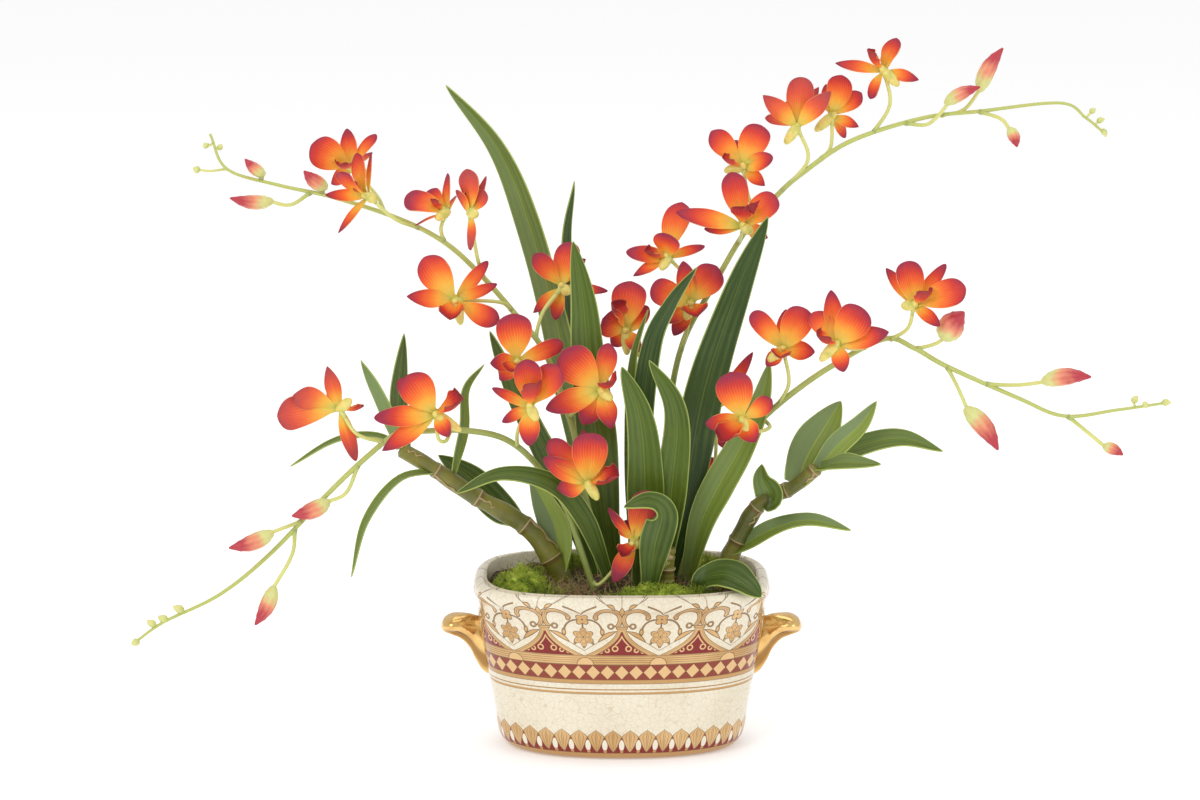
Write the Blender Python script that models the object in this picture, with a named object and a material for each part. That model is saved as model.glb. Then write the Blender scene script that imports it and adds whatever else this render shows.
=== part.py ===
"""A dendrobium orchid in an oval glazed pot: four flowering sprays, two leafy canes and strap leaves.

Metres, +Z up. The origin is the middle of the pot's flat underside, and -Y is the front.
"""

import math

import bmesh
import bpy
from mathutils import Vector, noise

MM = 0.001

# The photograph's view. A point of the plant is given as (pixel x, pixel y, depth), where the depth is
# its distance in mm behind the pot's middle.
VIEW_TARGET = Vector((-0.0156, 0.0, 0.2565))
VIEW_DISTANCE = 2.6
VIEW_ELEVATION = math.radians(12.5)
METRES_PER_PIXEL = 0.00072
PIXEL_CENTRE = (600, 400)
# Away from the pot, what is at the sides comes forward by up to LEAN mm and what is above it lies back.
LEAN = 60
LEAN_CENTRE = (620, 560)
LEAN_START = 150
LEAN_FULL = 550

# Driving sizes, in mm.
TOUCH_GAP = 0.3
STALK_GAP = 0.45
FOOT = (77, 41, 2.2)
SOIL_TOP = 119
SOIL_GAP = 0.4
BLADE_THICK = 0.9
LEAF_THICK = 1.1
STEM_RADIUS = 2.3
STALK_RADIUS = 1.15
SMALL_STALK_RADIUS = 0.75
SMALL_BUD = 7
OVARY = 8
OVARY_RADIUS = 2.6
BURIED = 12
FOOT_RISE = 4
HOLE_CLEAR = 0.6
HOLE_RISE = 30
PETAL_START = 1.6
COLUMN = ((-2.0, 2.4), (1.0, 3.1), (5.5, 1.7))
SPUR = ((0.0, 2.8), (0.5, 3.6), (1.0, 1.3))

# How many sides each tube has, cross rows each leaf or stalk, and steps each stretch of a curve.
POT_SIDES = 40
HANDLE_SIDES = 10
MOUND_SIDES = 11
CANE_SIDES = 7
STEM_SIDES = 5
BUD_SIDES = 6
THIN_SIDES = 4
LEAF_STATIONS = 9
CANE_LEAF_STATIONS = 6
STALK_STATIONS = 5
BUD_STALK_STATIONS = 4
LEAF_STEPS = 8
CANE_LEAF_STEPS = 6
STALK_STEPS = 4
STEM_STEPS = 2
NEAR_STEPS = 8

# Shapes, as shares of a length, width or thickness. A strap leaf and a cane leaf start at their foot's
# share of the widest, and their last number is how round they end.
STRAP_FOOT = 0.5
STRAP_WIDEST = 0.45
STRAP_END = (3.4, 0.7)
CANE_LEAF_FOOT = 0.14
CANE_LEAF_END = 0.75
LEAF_KEEL = 0.2
POINTED = 0.25
LEAF_BEND = 0.8
CANE_RING = 1.12
RING_HALF = 0.015
STEM_TAPER = 0.64
STEM_TAPER_POWER = 1.3
SMALL_BUD_SHAPE = ((0.0, 0.45, 1.0), (0.6, 1.0, 0.3))
BUD_SHAPE = ((0.0, 0.2, 0.5, 0.82, 1.0), (0.42, 0.9, 1.0, 0.55, 0.12))
BUD_SEAT = 0.2
CLAW = 0.2
LIP_LOOK = 0.5
MOUND_RINGS = ((0.94, 0.0), (1.0, 0.35), (0.86, 0.72), (0.55, 0.95), (0.2, 1.0))
MOUND_LUMPS = 0.35
LUMP_TURN = 2
LUMP_RISE = 3

# What the joined bodies keep: flat faces merge below this angle, then this share of the faces stays.
FLAT_ANGLE = math.radians(3)
KEPT_SHARE = 0.75
SHARP_ANGLE = math.radians(40)

# Materials: name, colour, roughness and how metallic.
GLAZE = ("glaze", (0.82, 0.75, 0.58), 0.25, 0.0)
GILT = ("gilt", (0.80, 0.50, 0.16), 0.2, 1.0)
SOIL = ("soil", (0.07, 0.04, 0.02), 0.95, 0.0)
MOSS_GREEN = ("moss", (0.22, 0.42, 0.04), 0.9, 0.0)
BARK_BROWN = ("bark", (0.25, 0.12, 0.05), 0.9, 0.0)
LEAF_GREEN = ("leaf", (0.085, 0.19, 0.045), 0.4, 0.0)
CANE_GREEN = ("cane", (0.20, 0.20, 0.035), 0.5, 0.0)
STEM_GREEN = ("stem", (0.42, 0.52, 0.22), 0.5, 0.0)
PETAL_ORANGE = ("petal", (0.86, 0.22, 0.06), 0.5, 0.0)

# The pot's wall from the foot up, over the rolled rim and down inside: half width, half depth, how
# square the oval is, and height.
POT_WALL = (
    (84.0, 46.0, 2.2, 2.0),
    (89.0, 50.0, 2.2, 8),
    (91.0, 51.5, 2.25, 16),
    (93.5, 52.5, 2.3, 34),
    (98.2, 54.5, 2.35, 60),
    (104.0, 60.0, 2.6, 95),
    (105.0, 65.0, 2.8, 112),
    (107.8, 71.0, 2.9, 119),
    (106.8, 71.2, 3.0, 125),
    (102.6, 68.3, 3.1, 128),
    (98.6, 64.5, 3.1, 125.5),
    (96.5, 62.0, 3.0, 118),
    (85.5, 46.0, 2.3, 12),
)

# Moss cushions and bark mats: middle x and y, half width, half depth and height, in mm.
MOSS = {
    "moss_left": (-73, -18, 18, 24, 18),
    "moss_front": (26, -44, 28, 10, 14),
    "moss_back_left": (-39, 44, 13, 9, 16),
    "moss_back_right": (62, 40, 13, 9, 14),
}
BARK = {
    "bark_left": (-38, -28, 11, 13, 6),
    "bark_right": (68, -8, 13, 12, 10),
}


def view_axes():
    """The view's right, up and forward directions."""
    forward = Vector((0, math.cos(VIEW_ELEVATION), -math.sin(VIEW_ELEVATION)))
    up = Vector((0, math.sin(VIEW_ELEVATION), math.cos(VIEW_ELEVATION)))
    return Vector((1, 0, 0)), up, forward


def lean_at(px, py):
    """How much farther back a part of the plant lies at this pixel, in mm."""
    x, y = px - LEAN_CENTRE[0], py - LEAN_CENTRE[1]
    far = math.hypot(x, y)
    if far < LEAN_START:
        return 0.0
    return LEAN * (far - LEAN_START) / (LEAN_FULL - LEAN_START) * (y * y - x * x) / far**2


def seen(px, py, depth):
    """The point of the plant that the photograph shows at this pixel, with its depth in mm."""
    return on_ray(px, py, depth + lean_at(px, py))


def on_ray(px, py, depth):
    """The point on this pixel's line of sight that lies this far behind the pot's middle, in metres."""
    right, up, forward = view_axes()
    eye = VIEW_TARGET - forward * VIEW_DISTANCE
    focal = VIEW_DISTANCE / METRES_PER_PIXEL
    ray = right * (px - PIXEL_CENTRE[0]) + up * (PIXEL_CENTRE[1] - py) + forward * focal
    return eye + ray * ((depth * MM - eye.y) / ray.y)


def rooted(px, depth):
    """The point just above the soil, at this depth, in this pixel column. Below it, all stand upright."""
    forward = view_axes()[2]
    top = Vector((0, depth, SOIL_TOP + FOOT_RISE)) * MM
    away = top - (VIEW_TARGET - forward * VIEW_DISTANCE)
    top.x = VIEW_TARGET.x + (px - PIXEL_CENTRE[0]) * away.dot(forward) * METRES_PER_PIXEL / VIEW_DISTANCE
    return top


def route_points(route):
    """The points of a plant's route. It starts on the soil, at a pixel column and a depth."""
    return [rooted(*route[0])] + [seen(*point) for point in route[1:]]


def direction(turn, tilt):
    """A unit direction: turn is from the front towards +X, tilt is upwards, in degrees."""
    turn, tilt = math.radians(turn), math.radians(tilt)
    return Vector((math.sin(turn) * math.cos(tilt), -math.cos(turn) * math.cos(tilt), math.sin(tilt)))


def smooth_through(points, steps):
    """A smooth curve through the points, with this many steps in each stretch."""
    ends = [points[0] * 2 - points[1]] + list(points) + [points[-1] * 2 - points[-2]]
    curve = []
    for i in range(1, len(ends) - 2):
        before, start, end, after = ends[i - 1 : i + 3]
        for step in range(steps):
            t = step / steps
            curve.append(
                0.5
                * (
                    2 * start
                    + (end - before) * t
                    + (2 * before - 5 * start + 4 * end - after) * t**2
                    + (3 * start - before - 3 * end + after) * t**3
                )
            )
    return curve + [points[-1]]


def lengths_along(curve):
    total = [0.0]
    for here, there in zip(curve, curve[1:]):
        total.append(total[-1] + (there - here).length)
    return total


def point_at(curve, distance):
    """The point of the curve at this distance along it."""
    run = lengths_along(curve)
    for i in range(1, len(curve)):
        if run[i] >= distance:
            share = (distance - run[i - 1]) / (run[i] - run[i - 1])
            return curve[i - 1].lerp(curve[i], share)
    return curve[-1].copy()


def even_points(curve, count, start=0.0, end=None):
    """Evenly spaced points of the curve between two distances along it."""
    end = lengths_along(curve)[-1] if end is None else end
    return [point_at(curve, start + (end - start) * i / (count - 1)) for i in range(count)]


def material(name, colour, roughness, metallic):
    made = bpy.data.materials.new(name)
    made.use_nodes = True
    shader = made.node_tree.nodes["Principled BSDF"]
    shader.inputs["Base Color"].default_value = (*colour, 1)
    shader.inputs["Roughness"].default_value = roughness
    shader.inputs["Metallic"].default_value = metallic
    made.diffuse_color = (*colour, 1)
    return made


def object_from(name, bm, shading):
    """A smooth-shaded object of the finished mesh."""
    bmesh.ops.recalc_face_normals(bm, faces=bm.faces)
    mesh = bpy.data.meshes.new(name)
    bm.to_mesh(mesh)
    bm.free()
    mesh.shade_smooth()
    mesh.set_sharp_from_angle(angle=SHARP_ANGLE)
    if shading:
        mesh.materials.append(shading)
    made = bpy.data.objects.new(name, mesh)
    bpy.context.scene.collection.objects.link(made)
    return made


def skin_rings(bm, rings):
    """Joins equal rings of vertices with triangles, in order, and closes both ends."""
    for lower, upper in zip(rings, rings[1:]):
        for i, here in enumerate(lower):
            j = (i + 1) % len(lower)
            bm.faces.new((here, lower[j], upper[j]))
            bm.faces.new((here, upper[j], upper[i]))
    bm.faces.new(rings[0][::-1])
    bm.faces.new(rings[-1])


def tube(name, points, radii, sides, shading):
    """A closed tube along the points, with a radius at each."""
    bm = bmesh.new()
    rings = []
    ahead = (points[1] - points[0]).normalized()
    across = ahead.orthogonal().normalized()
    for i, point in enumerate(points):
        ahead = (points[min(i + 1, len(points) - 1)] - points[max(i - 1, 0)]).normalized()
        across = (across - ahead * across.dot(ahead)).normalized()
        other = ahead.cross(across)
        ring = []
        for k in range(sides):
            turn = math.tau * k / sides
            ring.append(bm.verts.new(point + (across * math.cos(turn) + other * math.sin(turn)) * radii[i]))
        rings.append(ring)
    skin_rings(bm, rings)
    return object_from(name, bm, shading)


def blade(name, line, half_widths, face, cup, thick, panels, shading, keel=False):
    """A thin leaf or petal along the line. Its upper side looks to face, its edges rise by cup times the
    half width, and both sides are split into the same triangles."""
    bm = bmesh.new()
    top, under = [], []
    for i, point in enumerate(line):
        ahead = (line[min(i + 1, len(line) - 1)] - line[max(i - 1, 0)]).normalized()
        side = ahead.cross(face[i] if isinstance(face, list) else face).normalized()
        up = side.cross(ahead).normalized()
        if half_widths[i] < thick * POINTED:
            spread = [0.0]
        else:
            spread = [2 * k / panels - 1 for k in range(panels + 1)]
        rows = []
        for half in (thick / 2, -thick / 2):
            row = []
            for s in spread:
                rise = abs(s) if keel else s * s
                offset = side * (s * half_widths[i]) + up * (cup * half_widths[i] * rise + half)
                row.append(bm.verts.new(point + offset))
            rows.append(row)
        top.append(rows[0])
        under.append(rows[1])
    for i in range(len(line) - 1):
        for rows, flip in ((top, False), (under, True)):
            add_strip(bm, rows[i], rows[i + 1], flip)
        for end in (0, -1):
            rim = (top[i][end], top[i + 1][end], under[i + 1][end], under[i][end])
            bm.faces.new((rim[0], rim[1], rim[2]))
            bm.faces.new((rim[0], rim[2], rim[3]))
    for end in (0, -1):
        for k in range(len(top[end]) - 1):
            bm.faces.new((top[end][k], top[end][k + 1], under[end][k + 1], under[end][k]))
    return object_from(name, bm, shading)


def add_strip(bm, here, there, flip):
    """Triangles between two cross rows, the second of which may be a single tip point."""
    if len(there) == 1:
        cells = [(here[k], here[k + 1], there[0]) for k in range(len(here) - 1)]
    else:
        cells = []
        for k in range(len(here) - 1):
            cells.append((here[k], here[k + 1], there[k + 1]))
            cells.append((here[k], there[k + 1], there[k]))
    for cell in cells:
        bm.faces.new(cell[::-1] if flip else cell)


def fuse(name, pieces):
    """Joins the pieces in one body by a single union, then takes out the slivers along the joins."""
    body = pieces[0]
    body.name = name
    others = bpy.data.collections.new(name + "_pieces")
    for piece in pieces[1:]:
        for owner in piece.users_collection:
            owner.objects.unlink(piece)
        others.objects.link(piece)
    union = body.modifiers.new("union", "BOOLEAN")
    union.operation = "UNION"
    union.operand_type = "COLLECTION"
    union.collection = others
    union.solver = "MANIFOLD"
    flat = body.modifiers.new("flat", "DECIMATE")
    flat.decimate_type = "DISSOLVE"
    flat.angle_limit = FLAT_ANGLE
    body.modifiers.new("triangles", "TRIANGULATE")
    fewer = body.modifiers.new("fewer", "DECIMATE")
    fewer.ratio = KEPT_SHARE
    apply_modifiers(body)
    for piece in list(others.objects):
        bpy.data.objects.remove(piece)
    bpy.data.collections.remove(others)
    return body


def apply_modifiers(body):
    bpy.context.view_layer.update()
    graph = bpy.context.evaluated_depsgraph_get()
    finished = bpy.data.meshes.new_from_object(body.evaluated_get(graph))
    body.modifiers.clear()
    body.data = finished


def oval(half_width, half_depth, squareness, turn):
    """A point of a squarish oval, in mm."""
    c, s = math.cos(turn), math.sin(turn)
    power = 2 / squareness
    return (
        math.copysign(abs(c) ** power, c) * half_width,
        math.copysign(abs(s) ** power, s) * half_depth,
    )


def oval_ring(bm, half_width, half_depth, squareness, z):
    ring = []
    for k in range(POT_SIDES):
        x, y = oval(half_width, half_depth, squareness, math.tau * k / POT_SIDES)
        ring.append(bm.verts.new((x * MM, y * MM, z * MM)))
    return ring


def wall_at(z, inner):
    """Half width, half depth and squareness of the pot's inner or outer wall at this height."""
    rim = max(range(len(POT_WALL)), key=lambda i: POT_WALL[i][3])
    rows = POT_WALL[rim:][::-1] if inner else POT_WALL[: rim + 1]
    for low, high in zip(rows, rows[1:]):
        if low[3] <= z <= high[3]:
            share = (z - low[3]) / (high[3] - low[3])
            return tuple(a + (b - a) * share for a, b in zip(low[:3], high[:3]))
    return rows[0][:3]


def make_pot():
    """One shell of glazed ceramic with a flat underside."""
    bm = bmesh.new()
    rings = [oval_ring(bm, *FOOT, 0)]
    for half_width, half_depth, squareness, z in POT_WALL:
        rings.append(oval_ring(bm, half_width, half_depth, squareness, z))
    skin_rings(bm, rings)
    return object_from("pot", bm, material(*GLAZE))


# A handle's cross sections, from its root on the pot's wall out to its lip: distance from the pot's
# middle, height, half width and half thickness, in mm. The root's own distance is the wall's.
HANDLE = (
    (0.0, 74.0, 9.0, 20.5),
    (106.8, 79.5, 9.0, 16.5),
    (110.5, 84.0, 10.5, 13.0),
    (116.5, 87.8, 13.0, 9.6),
    (123.5, 89.4, 14.0, 7.6),
    (129.0, 89.0, 10.5, 5.2),
    (131.6, 88.2, 5.0, 2.4),
)


def make_handle(name, side, shading):
    """A gilded lug: it springs from the wall, sweeps up and outwards and flares to a lip."""
    bm = bmesh.new()
    rings = []
    for out, z, half_width, half_high in HANDLE:
        ring = []
        for k in range(HANDLE_SIDES):
            turn = math.tau * k / HANDLE_SIDES
            y = half_width * math.cos(turn)
            high = z + half_high * math.sin(turn)
            x = out or wall_at(high, False)[0] + TOUCH_GAP
            ring.append(bm.verts.new((side * x * MM, y * MM, high * MM)))
        rings.append(ring)
    skin_rings(bm, rings)
    return object_from(name, bm, shading)


def soil_ring(bm, z, inset):
    half_width, half_depth, squareness = wall_at(z, True)
    return oval_ring(bm, half_width - inset, half_depth - inset, squareness, z)


def make_soil(holes, shading):
    """The potting mix that fills the pot, with a plain hole for each stem and leaf."""
    bm = bmesh.new()
    shoulder, floor = POT_WALL[-2][3] - SOIL_GAP, POT_WALL[-1][3] + SOIL_GAP
    rings = [soil_ring(bm, z, SOIL_GAP) for z in (SOIL_TOP, shoulder, floor)]
    skin_rings(bm, rings)
    soil = object_from("soil", bm, shading)
    cutters = bpy.data.collections.new("soil_holes")
    for hole in holes:
        bpy.context.scene.collection.objects.unlink(hole)
        cutters.objects.link(hole)
    cut = soil.modifiers.new("holes", "BOOLEAN")
    cut.operation = "DIFFERENCE"
    cut.operand_type = "COLLECTION"
    cut.collection = cutters
    cut.solver = "MANIFOLD"
    apply_modifiers(soil)
    for hole in list(cutters.objects):
        bpy.data.objects.remove(hole)
    bpy.data.collections.remove(cutters)
    return soil


def make_hole(name, root, half_width, half_depth, side):
    """A straight-sided hole cutter, from the buried end to above the soil."""
    across = side.normalized()
    deep = Vector((0, 0, 1)).cross(across)
    bm = bmesh.new()
    corners = []
    for z in (-HOLE_CLEAR, BURIED + HOLE_RISE):
        for a, b in ((-1, -1), (1, -1), (1, 1), (-1, 1)):
            flat = across * (a * half_width) + deep * (b * half_depth)
            corners.append(bm.verts.new(root + (flat + Vector((0, 0, z))) * MM))
    skin_rings(bm, [corners[:4], corners[4:]])
    return object_from(name, bm, None)


def make_mound(name, middle_x, middle_y, half_width, half_depth, height, shading, seed):
    """A rounded, lumpy cushion lying on the soil."""
    bm = bmesh.new()
    rings = []
    floor = (SOIL_TOP + TOUCH_GAP) * MM
    for out, up in MOUND_RINGS:
        ring = []
        for k in range(MOUND_SIDES):
            turn = math.tau * (k + 0.5 * (len(rings) % 2)) / MOUND_SIDES
            place = Vector((math.cos(turn) * LUMP_TURN, math.sin(turn) * LUMP_TURN, up * LUMP_RISE + seed))
            lump = 1 + MOUND_LUMPS * noise.noise(place)
            x = middle_x + half_width * out * lump * math.cos(turn)
            y = middle_y + half_depth * out * lump * math.sin(turn)
            ring.append(bm.verts.new((x * MM, y * MM, floor + height * up * lump * MM * (up > 0))))
        rings.append(ring)
    skin_rings(bm, rings)
    return object_from(name, bm, shading)


def strap_profile(u):
    """How wide a strap leaf is at this share of its length, against its widest."""
    swell = min(u / STRAP_WIDEST, 1.0)
    fullness, blunt = STRAP_END
    width = STRAP_FOOT + (1 - STRAP_FOOT) * swell * swell * (3 - 2 * swell)
    return width * max(1 - u**fullness, 0.0) ** blunt


def cane_leaf_profile(u):
    """A short cane leaf, clasping at its base."""
    share = min(CANE_LEAF_FOOT + (1 - CANE_LEAF_FOOT) * u, 1.0)
    return max(math.sin(math.pi * share), 0.0) ** CANE_LEAF_END


def petal_profile(u, widest, fullness, blunt):
    """How wide a petal is at this share of its length, against its widest."""
    return max(1 - abs(2 * u**widest - 1) ** fullness, 0.0) ** blunt


# A petal's outline: how far along it is widest, how full its sides are and how blunt its ends.
BROAD = (1.8, 2.2, 0.45)
POINTED_OVAL = (1.1, 1.7, 0.6)

# How each kind of petal is shaped: its outline, how far it bows and cups, how far forward its root
# sits, the shares of its length at which it has a cross row, its strips from side to side and how blunt
# its end is, as a share of its widest.
PETAL_KINDS = {
    "sepals": (POINTED_OVAL, 1.2, 0.16, -0.8, (0.42, 0.76, 1.0), 1, 0.0),
    "petals": (BROAD, 2.0, 0.2, 0.7, (0.42, 0.8, 1.0), 2, 0.42),
    "lip": (BROAD, -2.5, 0.7, 1.4, (0.45, 0.8, 1.0), 2, 0.5),
}

# Strap leaves: points from the soil to the tip, widest width in mm, and where the upper side looks.
STRAP_LEAVES = {
    "leaf_1": (
        ((603, 42), (588, 480, 44), (561, 340, 48), (530, 225, 50), (498, 148, 50), (446, 85, 48)),
        27,
        (-35, 8),
    ),
    "leaf_2": (((606, 52), (585, 420, 58), (566, 260, 66), (574, 181, 68)), 15, (30, 5)),
    "leaf_3": (((612, 18), (600, 470, 2), (588, 360, -4), (583, 300, -5), (573, 241, -4)), 30, (8, 4)),
    "leaf_4": (((668, 18), (684, 500, 8), (704, 390, 6), (737, 290, 2), (768, 216, -8)), 31, (12, 8)),
    "leaf_5": (((645, 26), (640, 450, 10), (651, 350, 2), (670, 305, 0), (697, 267, 2)), 19, (-14, 6)),
    "leaf_6": (((632, 34), (630, 440, 20), (633, 360, 11), (648, 309, 10)), 9, (-20, 5)),
    "leaf_7": (((641, -4), (645, 490, -13), (640, 420, -28), (622, 367, -36)), 28, (10, 6)),
    "leaf_8": (((662, -2), (673, 480, -12), (676, 410, -22), (649, 360, -30)), 24, (-10, 8)),
    "leaf_9": (
        ((688, 6), (702, 522, 0), (720, 484, -3), (741, 447, -3), (760, 405, 0), (770, 362, 6)),
        25,
        (-20, 6),
    ),
    "leaf_10": (
        ((649, -26), (655, 545, -32), (662, 515, -36), (650, 502, -46), (624, 507, -57)),
        25,
        ((5, 10), (60, 70)),
    ),
    "leaf_11": (
        ((610, -6), (585, 520, -21), (552, 484, -31), (502, 474, -32), (456, 493, -28)),
        17,
        (-5, 45),
    ),
    "leaf_12": (((592, 28), (560, 480, 36), (520, 400, 42), (490, 331, 44)), 22, (-25, 5)),
    "leaf_rim": (
        ((700, -30), (707, 578, -35), (726, 575, -43), (744, 584, -52), (761, 597, -60)),
        30,
        (20, 50),
    ),
}

# Canes: points from the soil up, radius at the soil and at the top in mm, and the joints' places as
# shares of the length. Their leaves: points from the joint to the tip, width, where the upper side looks.
CANES = {
    "cane_left": (
        ((562, 12), (529, 529, 14), (473, 495, 16), (431, 467, 18), (400, 449, 20)),
        7.6,
        5.4,
        (0.1, 0.3, 0.56, 0.8),
        (
            (((402, 448, 20), (385, 405, 24), (361, 360, 28)), 13, (-40, 10)),
            (((405, 450, 20), (398, 400, 34), (404, 333, 42)), 14, (25, 8)),
            (((452, 474, 19), (463, 430, 24), (465, 390, 30), (484, 364, 34)), 9, (40, 10)),
            (((441, 471, 18), (400, 478, 6), (366, 520, -6), (351, 577, -12)), 7, (-30, 40)),
            (((404, 447, 20), (375, 435, 30), (335, 440, 38), (290, 466, 42)), 6, (-10, 60)),
            (((520, 524, 16), (500, 508, 34), (470, 478, 40), (438, 455, 42)), 24, (-10, 30)),
            (((560, 572, 13), (556, 530, 19), (543, 500, 21), (530, 478, 22)), 24, (-15, 5)),
        ),
    ),
    "cane_stub": (
        ((666, -16), (667, 562, -17), (668, 547, -17)),
        6.0,
        5.2,
        (0.45,),
        ((((663, 566, -22), (662, 556, -23), (664, 543, -21)), 8, (-15, 5)),),
    ),
    "cane_right": (
        ((722, 20), (757, 507, 16), (795, 486, 12), (818, 467, 10)),
        7.0,
        4.8,
        (0.24, 0.5, 0.74, 0.97),
        (
            (((733, 552, 18), (770, 530, 6), (810, 520, -2), (851, 530, -6)), 17, (30, 50)),
            (((768, 500, 15), (770, 494, -6), (762, 478, -12), (762, 464, -10)), 22, (-20, 20)),
            (((797, 484, 12), (808, 455, 20), (826, 425, 28), (841, 401, 34)), 30, (-20, 10)),
            (((818, 468, 10), (838, 445, 14), (860, 425, 16), (877, 401, 18)), 17, (-20, 20)),
            (((818, 468, 10), (855, 448, 24), (900, 438, 32), (943, 451, 36)), 17, (10, 45)),
            (((818, 468, 10), (840, 462, -6), (862, 463, -12), (881, 464, -14)), 15, (0, 50)),
        ),
    ),
}

# Sprays: the stem's points from the soil to its thin tip. Buds: stalk points, then the bud's base and
# tip, and its width in mm. The stalk starts on the stem where the photograph shows it.
SPRAYS = {
    "spray_upper_left": {
        "stem": (
            (604, 6), (597, 540, -5), (584, 490, -12), (575, 437, -12), (560, 391, -6), (543, 349, 4),
            (516, 315, 16), (481, 275, 18), (444, 242, 20), (397, 218, 24), (332, 197, 30), (278, 185, 36),
            (227, 169, 42), (210, 134, 44),
        ),
        "buds": (
            ((), (265, 175, 38), (245, 159, 36), 9),
            (((309, 194.6), (290, 205)), (273, 201, 32), (230, 198, 26), 10.5),
            ((), (327, 188, 32), (304, 171, 24), 11),
            (((212, 150),), (219, 150, 44), (222, 144, 44), 4.5),
            (((226.6, 169.6), (210, 171)), (200, 170, 44), (193, 168, 44), 5.5),
            ((), (208, 147, 44), (204, 143, 44), 5),
        ),
        "blooms": (
            "bloom_1", "bloom_2", "bloom_3", "bloom_4", "bloom_5", "bloom_6", "bloom_8", "bloom_9", "bloom_10",
        ),
    },
    "spray_upper_right": {
        "stem": (
            (676, 34), (672, 470, 34), (671, 400, 34), (684, 340, 34), (712, 288, 34), (745, 232, 34),
            (776.5, 196, 36), (802, 173.5, 38), (851, 141, 42), (923, 118, 50), (979, 111.4, 54),
            (1060, 103, 60),
            (1086, 118, 60), (1103, 132, 60),
        ),
        "buds": (
            (((940, 115), (964, 109.5)), (979, 92, 52), (1003, 48, 48), 12),
            (((903, 125), (925, 125), (937, 117)), (945, 104, 44), (980, 87, 38), 10),
            (((981, 114), (1001, 119)), (1009, 128, 50), (1017, 147, 48), 9),
            ((), (1090, 113, 60), (1096, 109, 60), 4.5),
            ((), (1097, 122, 60), (1105, 119, 60), 4.5),
            ((), (1102, 129, 60), (1106, 137, 60), 4.5),
        ),
        "blooms": (
            "bloom_11", "bloom_12", "bloom_13", "bloom_14", "bloom_15", "bloom_16", "bloom_17", "bloom_18",
        ),
    },
    "spray_right": {
        "stem": (
            (685, 24), (704, 501, 14), (720, 474, 10), (737, 448, 9), (757, 424, 9), (790, 395, 6),
            (831, 366.5, 0),
            (884, 339, -4), (914, 348, -8), (947, 366.5, -14), (1018, 398, -26), (1064, 416, -34),
            (1117, 410, -40), (1165, 403, -46),
        ),
        "buds": (
            (((916, 348), (935, 344)), (944, 340, -8), (964, 312, -14), 19),
            (((989, 381), (1018, 385)), (1042, 382, -36), (1091, 377, -44), 12.5),
            (((948, 367.5), (958, 388)), (965, 408, -24), (998, 450, -32), 14),
            (((1066, 416), (1086, 431)), (1103, 446, -36), (1123, 455, -38), 8.5),
            ((), (1133, 403, -43), (1138, 396, -43), 5),
            ((), (1144, 406, -44), (1148, 404, -46), 5),
            ((), (1162, 403, -46), (1171, 403, -47), 5),
        ),
        "blooms": ("bloom_19", "bloom_20", "bloom_21", "bloom_22", "bloom_23", "bloom_24"),
    },
    "spray_lower_left": {
        "stem": (
            (593, -20), (580, 548, -18), (566, 508, -14), (536, 464, -14), (505, 439, -18),
            (466, 430.5, -26),
            (425, 431, -24), (398, 433, -24), (365, 458.6, -26), (326.6, 495, -30), (269, 555, -36),
            (219, 595, -42), (164, 622, -50), (134, 643, -54),
        ),
        "buds": (
            (((359, 465.5), (346, 493)), (329, 501, -36), (292, 516, -42), 12.5),
            (((301, 523),), (273, 532, -42), (229, 548, -48), 12),
            (((297, 532), (292, 555)), (274, 586, -44), (255, 625, -50), 11.5),
            ((), (184, 610, -48), (173, 606, -49), 6),
            ((), (168, 620, -50), (158, 616, -50), 6),
            ((), (156, 625, -51), (147, 620, -52), 5.5),
            ((), (139, 640, -54), (131, 644, -55), 5.5),
        ),
        "blooms": ("bloom_7", "bloom_25", "bloom_26", "bloom_27"),
    },
}

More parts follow.
